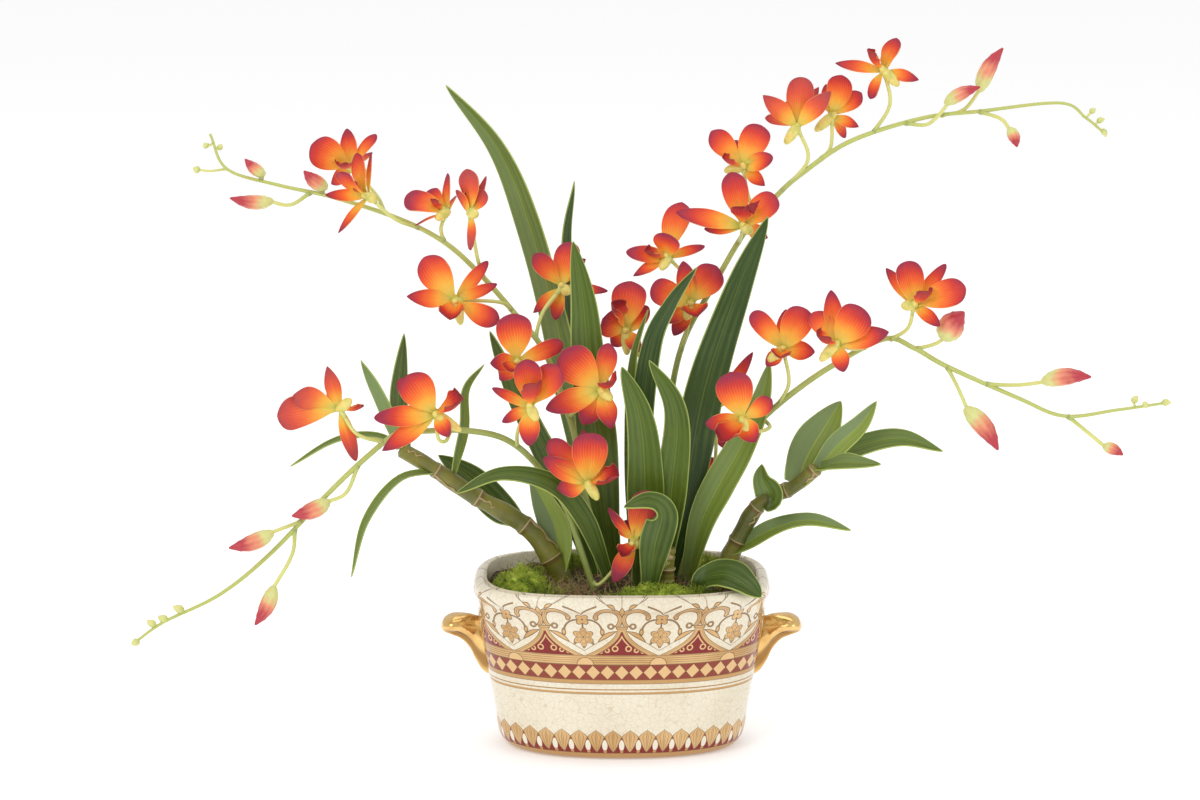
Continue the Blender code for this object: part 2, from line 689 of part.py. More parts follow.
# Blooms: middle, where it looks (turn, tilt), the stalk's points from the stem, then petals and sepals
# as tip, tip depth against the middle and width in mm, the lip and the spur.
BLOOMS = {
    "bloom_1": {
        "at": (352, 168, 40), "look": (-30, 20), "stalk": ((385, 213), (377, 196)),
        "petals": ((311, 145, -8, 24), (376, 134, 4, 9)),
        "sepals": ((346.5, 128.5, 6, 14), (331, 184, 14, 12), (372, 152, 18, 8)),
        "lip": (338, 165, -14, 14), "spur": (371, 176, 4),
    },
    "bloom_2": {
        "at": (368, 196, 8), "look": (-50, 15), "stalk": ((418, 231), (395, 219)),
        "petals": ((356, 153, 2, 16), (340, 172, -14, 17)),
        "sepals": ((325, 195, -2, 9), (338, 233, 4, 8), (371, 152, 14, 5)),
        "lip": (347, 183, -4, 13), "spur": (377, 201, 3),
    },
    "bloom_3": {
        "at": (447, 212, 14), "look": (-70, 40), "stalk": ((445, 242), (441, 228)),
        "petals": ((404.5, 198, 4, 20), (427, 191, 12, 15)),
        "sepals": ((447.5, 173, 4, 10), (415, 225, -8, 7), (455, 196, 16, 10)),
        "lip": (430, 199, -4, 12), "spur": (436, 219, -6),
    },
    "bloom_4": {
        "at": (470, 213, -6), "look": (150, 30), "stalk": ((484, 275), (477, 256)),
        "petals": ((466, 169, 8, 19), (483, 190, 3, 13)),
        "sepals": ((470, 250, -7, 9), (486, 176, 10, 6), (456, 190, 12, 11)),
        "lip": (473, 190, 14, 13), "spur": (478, 215, -4),
    },
    "bloom_5": {
        "at": (456, 300, 0), "look": (-12, -4), "stalk": ((513, 309), (499, 302)),
        "petals": ((424, 257, -6, 25), (499, 322, -9, 17)),
        "sepals": ((407, 296, 2, 14), (488, 261, 6, 10), (497, 284, -3, 9)),
        "lip": (450, 319, -17, 18), "spur": (461, 325, -3),
    },
    "bloom_6": {
        "at": (517, 361, -12), "look": (-5, 2), "stalk": ((555, 379), (540, 372)),
        "petals": ((513, 313.5, -6, 26), (563, 343, -4, 13)),
        "sepals": ((490, 363, -6, 14), (500, 380, 8, 12), (540, 386, -5, 12)),
        "lip": (511, 371, -18, 16), "spur": (520, 368, 8),
    },
    "bloom_7": {
        "at": (530, 407, -44), "look": (-5, 35), "stalk": ((515.5, 447), (518, 430)),
        "petals": ((527, 359, -10, 20), (559, 366, -6, 22)),
        "sepals": ((492, 388, 0, 8), (502, 422, 6, 9), (529, 446, -2, 15)),
        "lip": (537, 383, -18, 18), "spur": (537, 421, -4),
    },
    "bloom_8": {
        "at": (601, 390, -26), "look": (10, 4), "stalk": ((568, 418), (580, 408)),
        "petals": ((562, 351, -6, 28), (609, 343, 4, 15)),
        "sepals": ((546, 409, -8, 18), (583, 424, 2, 18), (612, 429, -2, 15)),
        "lip": (616, 380, -15, 20), "spur": (612, 400, -3),
    },
    "bloom_9": {
        "at": (562, 287, 24), "look": (-10, 30), "stalk": ((540, 335), (543, 312)),
        "petals": ((534, 254, -8, 15), (570, 242, 2, 19)),
        "sepals": ((533, 313, 8, 10), (555, 319, 12, 11), (608, 291, 8, 8)),
        "lip": (586, 259, -4, 13), "spur": (570, 294, -2),
    },
    "bloom_10": {
        "at": (588, 483, -38), "look": (12, 6), "stalk": ((581, 476), (584, 480)),
        "petals": ((590, 433, -8, 26), (549, 440, 0, 17)),
        "sepals": ((543, 458, -6, 15), (557, 489, 2, 16), (583, 429, 12, 13)),
        "lip": (618, 476, -14, 20), "spur": (598, 500, -5),
    },
    "bloom_11": {
        "at": (626, 331, 28), "look": (-12, 18), "stalk": ((672, 385), (650, 372)),
        "petals": ((631, 281, 2, 26), (603, 319, -8, 22)),
        "sepals": ((648, 306, 6, 15), (612, 345, 6, 13), (640, 352, -10, 11)),
        "lip": (611, 302, -10, 20), "spur": (627, 355, 2),
    },
    "bloom_12": {
        "at": (691, 303, 20), "look": (-5, 5), "stalk": ((681, 350), (687, 330)),
        "petals": ((717, 266, -2, 23), (651, 287, -4, 20)),
        "sepals": ((683, 261, -6, 15), (662, 322, 2, 14), (674, 335, 8, 13)),
        "lip": (697, 316, -15, 19), "spur": (686, 320, -3),
    },
    "bloom_13": {
        "at": (668, 257, 20), "look": (-25, 30), "stalk": ((706, 297), (693, 283)),
        "petals": ((682, 202, 10, 22), (668, 234, -12, 22)),
        "sepals": ((626, 252, -4, 13), (633, 276, 0, 9), (705, 246, 2, 8)),
        "lip": (645, 251, -10, 14), "spur": (661, 270, -4),
    },
    "bloom_14": {
        "at": (743, 226, 8), "look": (-6, 30), "stalk": ((739, 243), (741, 236)),
        "petals": ((731, 172, -2, 19), (776, 196, -4, 20)),
        "sepals": ((676, 212, -4, 14), (704, 229, 4, 11), (768, 238, 10, 12)),
        "lip": (747, 205, -17, 20), "spur": (752, 233, -4),
    },
    "bloom_15": {
        "at": (743, 167, 26), "look": (-8, 25), "stalk": ((757, 216), (748, 195)),
        "petals": ((711, 131, -2, 17), (761, 125, 2, 22)),
        "sepals": ((773, 157, -8, 14), (765, 186, 0, 10), (735, 140, 12, 12)),
        "lip": (722, 158, -12, 14), "spur": (724, 171, -2),
    },
    "bloom_16": {
        "at": (797, 127, 34), "look": (175, 25), "stalk": ((781, 192), (808, 160)),
        "petals": ((802, 77, 6, 20), (765, 118, 14, 9)),
        "sepals": ((763, 95, -4, 15), (831, 91, -4, 15), (819, 87, 16, 11)),
        "lip": (792, 100, 16, 15), "spur": (785, 144, 0),
    },
    "bloom_17": {
        "at": (832, 116, 54), "look": (20, 25), "stalk": ((823, 160), (831, 146)),
        "petals": ((842, 75, -2, 20), (862, 93, 6, 13)),
        "sepals": ((859, 127, 0, 9), (826, 84, 10, 12), (845, 137, 14, 9)),
        "lip": (822, 98, 8, 13), "spur": (815, 131, -2),
    },
    "bloom_18": {
        "at": (884, 71, 40), "look": (-35, 40), "stalk": ((873, 132), (890, 104)),
        "petals": ((897, 38, -2, 15), (870, 99, -2, 10)),
        "sepals": ((835, 63, -4, 10), (919, 80, 2, 10), (892, 44, 14, 11)),
        "lip": (868, 50, -10, 15), "spur": (899, 86, 0),
    },
    "bloom_19": {
        "at": (783, 349, -8), "look": (0, 20), "stalk": ((779, 403), (789, 382)),
        "petals": ((752, 312, -4, 15), (805, 308, -4, 22)),
        "sepals": ((786, 309, 10, 12), (815, 352, 4, 14), (766, 366, -4, 11)),
        "lip": (780, 357, -18, 14), "spur": (768, 361, -4),
    },
    "bloom_20": {
        "at": (836, 344, -26), "look": (5, 20), "stalk": ((866, 347), (852, 349)),
        "petals": ((863, 308, -4, 25), (813, 312, 6, 16)),
        "sepals": ((831, 290, 10, 14), (889, 332, 0, 16), (844, 372, 2, 13)),
        "lip": (818, 336, -14, 17), "spur": (820, 361, -3),
    },
    "bloom_21": {
        "at": (914, 305, -20), "look": (5, 30), "stalk": ((890, 339), (908, 328)),
        "petals": ((907, 261, -4, 20), (966, 288, -6, 21)),
        "sepals": ((886, 268, 6, 10), (946, 264, 12, 10), (940, 326, -4, 10)),
        "lip": (931, 291, -16, 16), "spur": (901, 306, 0),
    },
    "bloom_22": {
        "at": (742, 419, -42), "look": (-8, -8), "stalk": ((763, 420), (770, 427), (757, 431)),
        "petals": ((731, 372, -4, 27), (772, 399, 2, 14)),
        "sepals": ((706, 424, -4, 14), (756, 442, -8, 16), (724, 436, 8, 14)),
        "lip": (721, 441, -17, 18), "spur": (748, 432, -3),
    },
    "bloom_23": {
        "at": (714, 413, 34), "look": (8, 15), "stalk": ((712, 486), (716, 450)),
        "petals": ((706, 370, 2, 18), (735, 372, 4, 17)),
        "sepals": ((753, 352, 10, 10), (699, 452, 2, 12), (724, 448, 10, 13)),
        "lip": (694, 398, -10, 14), "spur": (705, 437, 2),
    },
    "bloom_24": {
        "at": (698, 486, 34), "look": (-4, 10), "stalk": ((717, 478), (710, 481)),
        "petals": ((718, 459, 0, 18), (686, 462, 0, 16)),
        "sepals": ((699, 518, 7, 17), (733, 480, 8, 14), (668, 488, 8, 14)),
        "lip": (700, 502, -15, 16), "spur": (693, 505, -2),
    },
    "bloom_25": {
        "at": (340, 409, -30), "look": (-150, 20), "stalk": ((382, 439), (357, 434)),
        "petals": ((277, 416, 0, 28), (293, 395, -8, 18)),
        "sepals": ((327, 366, 4, 12), (356, 461, 14, 11), (330, 384, 16, 11)),
        "lip": (363, 406, 8, 9), "spur": (351, 399, -4),
    },
    "bloom_26": {
        "at": (436, 414, -40), "look": (-5, 15), "stalk": ((450, 431), (446, 441), (438, 438)),
        "petals": ((407, 375, -6, 25), (398, 380, 6, 14)),
        "sepals": ((374, 418, -2, 15), (382, 451, 0, 14), (449, 437, -10, 12)),
        "lip": (462, 399, -13, 22), "spur": (461, 431, 0),
    },
    "bloom_27": {
        "at": (634, 541, -26), "look": (-20, -10), "stalk": ((590, 583), (600, 584), (620, 562)),
        "petals": ((650, 491, -4, 22), (625, 520, 6, 16)),
        "sepals": ((613, 583, -8, 14), (608, 508, 2, 8), (668, 536, 10, 12)),
        "lip": (622, 556, -12, 14), "spur": (640, 548, 0),
    },
}


def stem_curve(spray):
    return smooth_through(route_points(SPRAYS[spray]["stem"]), STEM_STEPS)


def nearest_on(curve, px, py):
    """The curve's point that the photograph shows nearest this pixel."""
    steps = range(NEAR_STEPS + 1)
    points = [a.lerp(b, k / NEAR_STEPS) for a, b in zip(curve, curve[1:]) for k in steps]
    return min(points, key=lambda point: (Vector(pixel_of(point)) - Vector((px, py))).length)


def pixel_of(point):
    """Where the photograph shows a point."""
    right, up, forward = view_axes()
    away = point - (VIEW_TARGET - forward * VIEW_DISTANCE)
    scale = VIEW_DISTANCE / METRES_PER_PIXEL / away.dot(forward)
    return PIXEL_CENTRE[0] + away.dot(right) * scale, PIXEL_CENTRE[1] - away.dot(up) * scale


def stalk_curve(stem, route, end):
    """A stalk from the stem through the route's pixels to its end point, its depth changing evenly."""
    start = nearest_on(stem, *(route[0] if route else pixel_of(end)))
    inner = route[1:]
    points = [start]
    for i, (px, py) in enumerate(inner):
        share = (i + 1) / (len(inner) + 1)
        points.append(on_ray(px, py, (start.y + (end.y - start.y) * share) / MM))
    return smooth_through(points + [end], STALK_STEPS)


def bloom_stalk(name):
    """The whole stalk of a bloom, from its spray's stem to the bloom's middle."""
    spray = next(key for key, value in SPRAYS.items() if name in value["blooms"])
    bloom = BLOOMS[name]
    return stalk_curve(stem_curve(spray), bloom["stalk"], seen(*bloom["at"]))


def stem_radius(u):
    """A flower stem tapers to a third of its thickness."""
    return STEM_RADIUS * (1 - STEM_TAPER * u**STEM_TAPER_POWER)


def make_spray(name, shading):
    """A stem with its flower stalks and its closed buds, as one body. Its foot stands in the soil."""
    stem = stem_curve(name)
    run = lengths_along(stem)
    radii = [STEM_RADIUS * MM] + [stem_radius(distance / run[-1]) * MM for distance in run]
    pieces = [tube(name, [buried_end(stem[0])] + stem, radii, STEM_SIDES, shading)]
    for i, (route, base, tip, width) in enumerate(SPRAYS[name]["buds"]):
        pieces += make_bud(f"{name}_bud_{i}", stem, route, base, tip, width, shading)
    for bloom in SPRAYS[name]["blooms"]:
        stalk = bloom_stalk(bloom)
        end = lengths_along(stalk)[-1] - (OVARY + STALK_GAP) * MM
        line = even_points(stalk, STALK_STATIONS, 0, end)
        radii = [STALK_RADIUS * MM] * STALK_STATIONS
        pieces.append(tube(f"{bloom}_stalk", line, radii, THIN_SIDES, shading))
    return fuse(name, pieces)


def make_bud(name, stem, route, base, tip, width, shading):
    """A closed bud, and the stalk that carries it."""
    base, tip = seen(*base), seen(*tip)
    small = width < SMALL_BUD
    shares, full = SMALL_BUD_SHAPE if small else BUD_SHAPE
    line = [base.lerp(tip, share) for share in shares]
    sides = THIN_SIDES if small else BUD_SIDES
    bud = tube(name, line, [width / 2 * MM * f for f in full], sides, shading)
    stalk = stalk_curve(stem, route, base.lerp(tip, BUD_SEAT))
    carried = even_points(stalk, 2 if small else BUD_STALK_STATIONS)
    radius = (SMALL_STALK_RADIUS if small else STALK_RADIUS) * MM
    return [bud, tube(name + "_stalk", carried, [radius] * len(carried), THIN_SIDES, shading)]


def petal_line(root, tip, look, bow):
    """The middle line of a petal: from its root to its tip, bowed towards where the bloom looks."""
    ahead = (tip - root).normalized()
    out = (look - ahead * look.dot(ahead)).normalized()
    bend = (root + tip) / 2 + out * bow * MM * 2
    return lambda u: root * (1 - u) ** 2 + bend * 2 * u * (1 - u) + tip * u**2


def spur_end(bloom):
    px, py, deeper = bloom["spur"]
    return seen(px, py, bloom["at"][2] + deeper)


def make_petal(name, bloom, kind, row, shading):
    """One petal, sepal or lip of a bloom, its root sunk in the bloom's middle."""
    outline, bow, cup, lift, stations, panels, blunt = PETAL_KINDS[kind]
    middle, look = seen(*bloom["at"]), direction(*bloom["look"])
    tip_x, tip_y, deeper, width = row
    tip = seen(tip_x, tip_y, bloom["at"][2] + deeper)
    if kind == "lip":
        look = (look * LIP_LOOK + Vector((0, 0, 1))).normalized()
    line = petal_line(middle + look * lift * MM, tip, look, bow)
    stations = (PETAL_START * MM / (tip - middle).length, *stations)
    shares = [max(petal_profile(u, *outline), CLAW if u < 1 else blunt) for u in stations]
    halves = [width / 2 * MM * share for share in shares]
    return blade(name, [line(u) for u in stations], halves, look, cup, BLADE_THICK * MM, panels, shading)


def make_bloom(name, shading):
    """A bloom: two petals, three sepals, a cupped lip, a column, a spur and its end of the stalk."""
    bloom = BLOOMS[name]
    middle, look = seen(*bloom["at"]), direction(*bloom["look"])
    stalk = bloom_stalk(name)
    total = lengths_along(stalk)[-1]
    ovary = even_points(stalk, 2, total - OVARY * MM, total)
    pieces = [tube(name, ovary, [STALK_RADIUS * MM, OVARY_RADIUS * MM], THIN_SIDES, shading)]
    column = [middle + look * step * MM for step, radius in COLUMN]
    thick = [radius * MM for step, radius in COLUMN]
    pieces.append(tube(name + "_column", column, thick, THIN_SIDES, shading))
    spur = [middle.lerp(spur_end(bloom), share) for share, radius in SPUR]
    thick = [radius * MM for share, radius in SPUR]
    pieces.append(tube(name + "_spur", spur, thick, THIN_SIDES, shading))
    for kind in PETAL_KINDS:
        rows = [bloom[kind]] if kind == "lip" else bloom[kind]
        for k, row in enumerate(rows):
            pieces.append(make_petal(f"{name}_{kind}_{k}", bloom, kind, row, shading))
    return fuse(name, pieces)


def buried_end(foot):
    """The foot of a stem or leaf, straight down in the soil from where it comes out."""
    return Vector((foot.x, foot.y, (SOIL_TOP - BURIED) * MM))


def leaf_looks(look, count):
    """Where the upper side looks at each station: one direction, or a start and an end direction."""
    if not isinstance(look[0], tuple):
        return [direction(*look)] * count
    first, last = direction(*look[0]), direction(*look[1])
    return [first.lerp(last, (i / (count - 1)) ** 2).normalized() for i in range(count)]


def make_strap_leaf(name, shading):
    """A strap leaf with a keel along its middle. Its foot stands in the soil."""
    route, width, look = STRAP_LEAVES[name]
    curve = smooth_through(route_points(route), LEAF_STEPS)
    bottom = buried_end(curve[0])
    line = [bottom, bottom.lerp(curve[0], LEAF_BEND)] + even_points(curve, LEAF_STATIONS)
    shares = [i / (LEAF_STATIONS - 1) for i in range(LEAF_STATIONS)]
    halves = [width / 2 * strap_profile(u) * MM for u in [0, 0] + shares]
    looks = leaf_looks(look, LEAF_STATIONS)
    looks = [looks[0], looks[0]] + looks
    return blade(name, line, halves, looks, LEAF_KEEL, LEAF_THICK * MM, 2, shading, keel=True)


def cane_radius(u, low, high, joints):
    """A cane tapers, and has a thin raised ring at each joint."""
    radius = low + (high - low) * u
    near = min(abs(u - joint) for joint in joints)
    return radius * (CANE_RING if near < RING_HALF / 2 else 1.0)


def make_cane(name, shading):
    """A jointed cane with the leaves that clasp it."""
    route, low, high, joints, leaves = CANES[name]
    curve = smooth_through(route_points(route), LEAF_STEPS)
    total = lengths_along(curve)[-1]
    near = [joint + step for joint in joints for step in (-RING_HALF, 0.0, RING_HALF)]
    shares = sorted({0.0, 1.0, *(share for share in near if 0 < share < 1)})
    line = [buried_end(curve[0])] + [point_at(curve, total * share) for share in shares]
    radii = [low * MM] + [cane_radius(share, low, high, joints) * MM for share in shares]
    pieces = [tube(name, line, radii, CANE_SIDES, shading)]
    for k, (points, width, look) in enumerate(leaves):
        middle = smooth_through([seen(*point) for point in points], CANE_LEAF_STEPS)
        leaf = even_points(middle, CANE_LEAF_STATIONS)
        shares = [i / (CANE_LEAF_STATIONS - 1) for i in range(CANE_LEAF_STATIONS)]
        halves = [width / 2 * MM * cane_leaf_profile(u) for u in shares]
        looks = leaf_looks(look, CANE_LEAF_STATIONS)
        thick = LEAF_THICK * MM
        pieces.append(blade(f"{name}_leaf_{k}", leaf, halves, looks, LEAF_KEEL, thick, 2, shading, keel=True))
    return fuse(name, pieces)


def make_holes():
    """The hole that each stem, cane and leaf stands in."""
    holes = []
    for name, (route, width, look) in STRAP_LEAVES.items():
        foot = rooted(*route[0])
        first = leaf_looks(look, 2)[0]
        side = Vector((0, 0, 1)).cross(first)
        half = width / 2 * strap_profile(0)
        keel = LEAF_KEEL * half / 2
        deep = LEAF_THICK / 2 + HOLE_CLEAR + keel
        root = buried_end(foot) + Vector((first.x, first.y, 0)).normalized() * keel * MM
        holes.append(make_hole(name + "_hole", root, half + HOLE_CLEAR, deep, side))
    stems = [(name, route[0], low) for name, (route, low, *rest) in CANES.items()]
    stems += [(name, spray["stem"][0], STEM_RADIUS) for name, spray in SPRAYS.items()]
    for name, foot, radius in stems:
        half = radius + HOLE_CLEAR
        holes.append(make_hole(name + "_hole", buried_end(rooted(*foot)), half, half, Vector((1, 0, 0))))
    return holes


def clear_scene():
    for old in list(bpy.data.objects):
        bpy.data.objects.remove(old)


def main():
    clear_scene()
    make_pot()
    gilt = material(*GILT)
    make_handle("handle_left", -1, gilt)
    make_handle("handle_right", 1, gilt)
    make_soil(make_holes(), material(*SOIL))
    moss = material(*MOSS_GREEN)
    for seed, (name, sizes) in enumerate(MOSS.items()):
        make_mound(name, *sizes, moss, seed)
    bark = material(*BARK_BROWN)
    for seed, (name, sizes) in enumerate(BARK.items()):
        make_mound(name, *sizes, bark, seed)
    leaf = material(*LEAF_GREEN)
    for name in STRAP_LEAVES:
        make_strap_leaf(name, leaf)
    cane = material(*CANE_GREEN)
    for name in CANES:
        make_cane(name, cane)
    stem = material(*STEM_GREEN)
    for name in SPRAYS:
        make_spray(name, stem)
    petal = material(*PETAL_ORANGE)
    for name in BLOOMS:
        make_bloom(name, petal)


main()
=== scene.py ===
import math
import random

import bmesh
import bpy
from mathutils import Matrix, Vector, noise


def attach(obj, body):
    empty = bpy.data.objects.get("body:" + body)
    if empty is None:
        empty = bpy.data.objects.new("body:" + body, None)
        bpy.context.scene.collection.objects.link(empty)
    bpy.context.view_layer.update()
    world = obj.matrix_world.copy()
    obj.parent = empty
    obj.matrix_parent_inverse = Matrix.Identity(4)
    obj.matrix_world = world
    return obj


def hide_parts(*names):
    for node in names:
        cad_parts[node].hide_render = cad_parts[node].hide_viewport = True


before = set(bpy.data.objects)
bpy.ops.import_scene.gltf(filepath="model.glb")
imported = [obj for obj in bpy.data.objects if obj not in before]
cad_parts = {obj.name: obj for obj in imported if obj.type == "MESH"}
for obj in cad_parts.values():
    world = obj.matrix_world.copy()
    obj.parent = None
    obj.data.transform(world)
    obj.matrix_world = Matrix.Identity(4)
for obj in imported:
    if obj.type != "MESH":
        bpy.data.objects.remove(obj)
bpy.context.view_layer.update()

# The studio: a wide white floor, soft light from the left, the right and above, and a camera on a long
# lens at the photograph's angle. The same view places the plant: each of its points is given by the
# pixel that shows it, with its depth in mm behind the pot's middle.
VIEW_TARGET = Vector((-0.0156, 0.0, 0.2565))
VIEW_DISTANCE = 2.6
VIEW_ELEVATION = math.radians(12.5)
METRES_PER_PIXEL = 0.00072
PICTURE_WIDTH = 1200
PIXEL_CENTRE = (600, 400)
RIGHT = Vector((1, 0, 0))
UP = Vector((0, math.sin(VIEW_ELEVATION), math.cos(VIEW_ELEVATION)))
FORWARD = Vector((0, math.cos(VIEW_ELEVATION), -math.sin(VIEW_ELEVATION)))
EYE = VIEW_TARGET - FORWARD * VIEW_DISTANCE
FILM_WIDTH = 36
SKY = {"Color": (1, 1, 1, 1), "Strength": 0.74}
FLOOR_SIZE = 14
FLOOR_WHITE = (0.93, 0.93, 0.93, 1)
FLOOR_FINISH = {
    "Base Color": FLOOR_WHITE, "Roughness": 0.9, "Emission Color": FLOOR_WHITE, "Emission Strength": 0.28,
}
# Each lamp's place and size in metres, and its power in watts.
LAMPS = {
    "key": ((-1.5, -2.0, 1.9), 1.5, 24),
    "fill": ((2.0, -1.5, 1.2), 1.4, 9),
    "top": ((0.2, 0.5, 2.4), 1.6, 11),
}

scene = bpy.context.scene
scene.view_settings.view_transform = "Standard"
lens = bpy.data.cameras.new("camera")
lens.sensor_width = FILM_WIDTH
lens.lens = lens.sensor_width * VIEW_DISTANCE / (PICTURE_WIDTH * METRES_PER_PIXEL)
camera = bpy.data.objects.new("camera", lens)
camera.location = EYE
camera.rotation_euler = (math.radians(90) - VIEW_ELEVATION, 0, 0)
scene.collection.objects.link(camera)
scene.camera = camera

world = bpy.data.worlds.new("studio")
world.use_nodes = True
for socket, value in SKY.items():
    world.node_tree.nodes["Background"].inputs[socket].default_value = value
scene.world = world

for name, (place, size, power) in LAMPS.items():
    light = bpy.data.lights.new(name, "AREA")
    light.shape = "SQUARE"
    light.size = size
    light.energy = power
    lamp = bpy.data.objects.new(name, light)
    lamp.location = place
    lamp.rotation_euler = (VIEW_TARGET - Vector(place)).to_track_quat("-Z", "Y").to_euler()
    scene.collection.objects.link(lamp)

bm = bmesh.new()
bmesh.ops.create_grid(bm, x_segments=2, y_segments=2, size=FLOOR_SIZE)
floor_mesh = bpy.data.meshes.new("floor")
bm.to_mesh(floor_mesh)
bm.free()
white = bpy.data.materials.new("floor_white")
white.use_nodes = True
for socket, value in FLOOR_FINISH.items():
    white.node_tree.nodes["Principled BSDF"].inputs[socket].default_value = value
floor_mesh.materials.append(white)
floor = bpy.data.objects.new("floor", floor_mesh)
scene.collection.objects.link(floor)

# The pot: one oval shell of cream stoneware with a crackled glaze, pressed in a mould, with a rolled rim
# and a rounded foot. Its band of arches, diamonds and fans is printed in red, gold and brown under the
# clear glaze, and its ten arches run round the shell.
MM = 0.001
# The wall from its foot up the outside, over the rim and down the inside. Each row: half width and half
# depth in mm, how square the oval is (2 for an ellipse), and its height in mm.
POT_WALL = (
    (77, 41, 2.2, 0.0), (84.0, 46.0, 2.2, 2.0), (89.0, 50.0, 2.2, 8), (91.0, 51.5, 2.25, 16),
    (93.5, 52.5, 2.3, 34), (98.2, 54.5, 2.35, 60), (104.0, 60.0, 2.6, 95), (105.0, 65.0, 2.8, 112),
    (107.8, 71.0, 2.9, 119), (106.8, 71.2, 3.0, 125), (102.6, 68.3, 3.1, 128), (98.6, 64.5, 3.1, 125.5),
    (96.5, 62.0, 3.0, 118), (85.5, 46.0, 2.3, 12),
)
POT_ROUND = 288
POT_STEPS = 7
OVAL_FINE = 1440
RIM_FADE = 0.012
SHARP_EDGE = math.radians(50)
# The crackle: each net's cells per metre and how dark it is.
CRACKLE = ((235.0, 0.42), (520.0, 0.2))
CRACKLE_LINE = 0.06
CRACKLE_SWAY = (0.004, 0.004, 0.004)
# The print, in mm: heights are above the table, and distances across are from the middle of an arch or,
# in the cream zone, from the valley between two arches.
ARCHES = 10
ARCH_WIDTH = 53.5
ARCH_TOP = 103.5
ARCH_TIP = 3.2
ARCH_BOW = 0.051
ARCH_FOOT = 82.0
CURLS = ((4.8, 87.4, 1.9, 0.5), (10.4, 86.0, 1.4, 0.5), (15.0, 84.9, 1.0, 0.45))
TOP_FLOWER = 110.6
LOW_FLOWER = 96.4
SPRIGS = (
    ((3.4, 101.2), (17.0, 92.2), 1.7, 1.1), ((0.4, 115.2), (5.4, 119.6), 1.1, 0.4),
    ((4.2, 120.0), (9.8, 123.6), 1.3, 0.5), ((0.0, 121.5), (0.0, 113.2), 1.7, 0.0),
)
STRIPE_BAND = (78.3, 3.8)
DOME_FOOT = 74.6
TILE_BAND = (68.8, 5.9)
TILES_PER_ARCH = 5
TILE_SLOPE = 5.6
GOLD_LINES = ((61.5, 1.4), (55.4, 0.45), (52.7, 0.75))
BROWN_LINES = (
    (82.15, 0.2, 0.8), (74.65, 0.2, 0.8), (62.95, 0.2, 0.8), (55.45, 0.2, 0.8), (59.9, 0.25, 0.8),
    (51.8, 0.2, 0.7),
)
FANS = 38
FAN_HALF_WIDTH = 6.3
FAN_TOP = 25.0
FAN_GROUND = 18.6
FOOT_LINE = 6.2
GLAZE_CREAM = (0.81, 0.745, 0.60)
GLAZE_SHADE = (0.74, 0.665, 0.51)
CRACKLE_TAN = (0.50, 0.38, 0.22)
PRINT_GOLD = (0.52, 0.295, 0.105)
PRINT_GOLD_PALE = (0.71, 0.465, 0.22)
PRINT_BROWN = (0.175, 0.095, 0.035)
PRINT_RED = (0.21, 0.006, 0.004)
SOFT_EDGE = 0.22


def smooth_through(points, steps):
    """A smooth curve through the points, with this many steps in each stretch."""
    ends = [points[0] * 2 - points[1]] + list(points) + [points[-1] * 2 - points[-2]]
    curve = []
    for i in range(1, len(ends) - 2):
        before, start, end, after = ends[i - 1 : i + 3]
        for step in range(steps):
            t = step / steps
            bend = (before * 2 - start * 5 + end * 4 - after) * t**2
            turn = (start * 3 - before - end * 3 + after) * t**3
            curve.append((start * 2 + (end - before) * t + bend + turn) / 2)
    return curve + [points[-1]]


def sheet(rows, stations=None, marks=None):
    """A grid laid through rows of points. Its UV map holds how far along and across each point lies, and
    marks are more numbers for each point, as tables with the rows' own shape. Points that meet merge."""
    along, across = len(rows) - 1, len(rows[0]) - 1
    stations = stations or [i / along for i in range(along + 1)]
    bm = bmesh.new()
    bmesh.ops.create_grid(bm, x_segments=along, y_segments=across, size=0.5)
    shape = bm.loops.layers.uv.new("shape")
    for name in marks or {}:
        bm.verts.layers.float.new(name)
    cells = {}
    for vert in bm.verts:
        cells[vert] = (round((vert.co.x + 0.5) * along), round((vert.co.y + 0.5) * across))
    for face in bm.faces:
        for loop in face.loops:
            i, j = cells[loop.vert]
            loop[shape].uv = (stations[i], j / across)
    for name, table in (marks or {}).items():
        layer = bm.verts.layers.float[name]
        for vert, (i, j) in cells.items():
            vert[layer] = table[i][j]
    for vert, (i, j) in cells.items():
        vert.co = rows[i][j]
    bmesh.ops.remove_doubles(bm, verts=bm.verts, dist=1e-6)
    bmesh.ops.recalc_face_normals(bm, faces=bm.faces)
    return bm


def place_piece(name, mesh, slot, *nodes):
    """Puts a mesh in the scene as one piece that stands for the nodes."""
    piece = bpy.data.objects.new(name, mesh)
    scene.collection.objects.link(piece)
    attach(piece, "root")
    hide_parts(*nodes)


def finish_piece(name, parts, slot, *nodes):
    """Joins the parts, each a mesh with its finish, in one piece that stands for the nodes."""
    finishes = list(dict.fromkeys(finish for bm, finish in parts))
    whole = bmesh.new()
    for bm, finish in parts:
        number = finishes.index(finish)
        for face in bm.faces:
            face.material_index = number
        part = bpy.data.meshes.new("part")
        bm.to_mesh(part)
        bm.free()
        whole.from_mesh(part)
        bpy.data.meshes.remove(part)
    mesh = bpy.data.meshes.new(name)
    whole.to_mesh(mesh)
    whole.free()
    mesh.shade_smooth()
    mesh.set_sharp_from_angle(angle=SHARP_EDGE)
    for finish in finishes:
        mesh.materials.append(finish)
    place_piece(name, mesh, slot, *nodes)


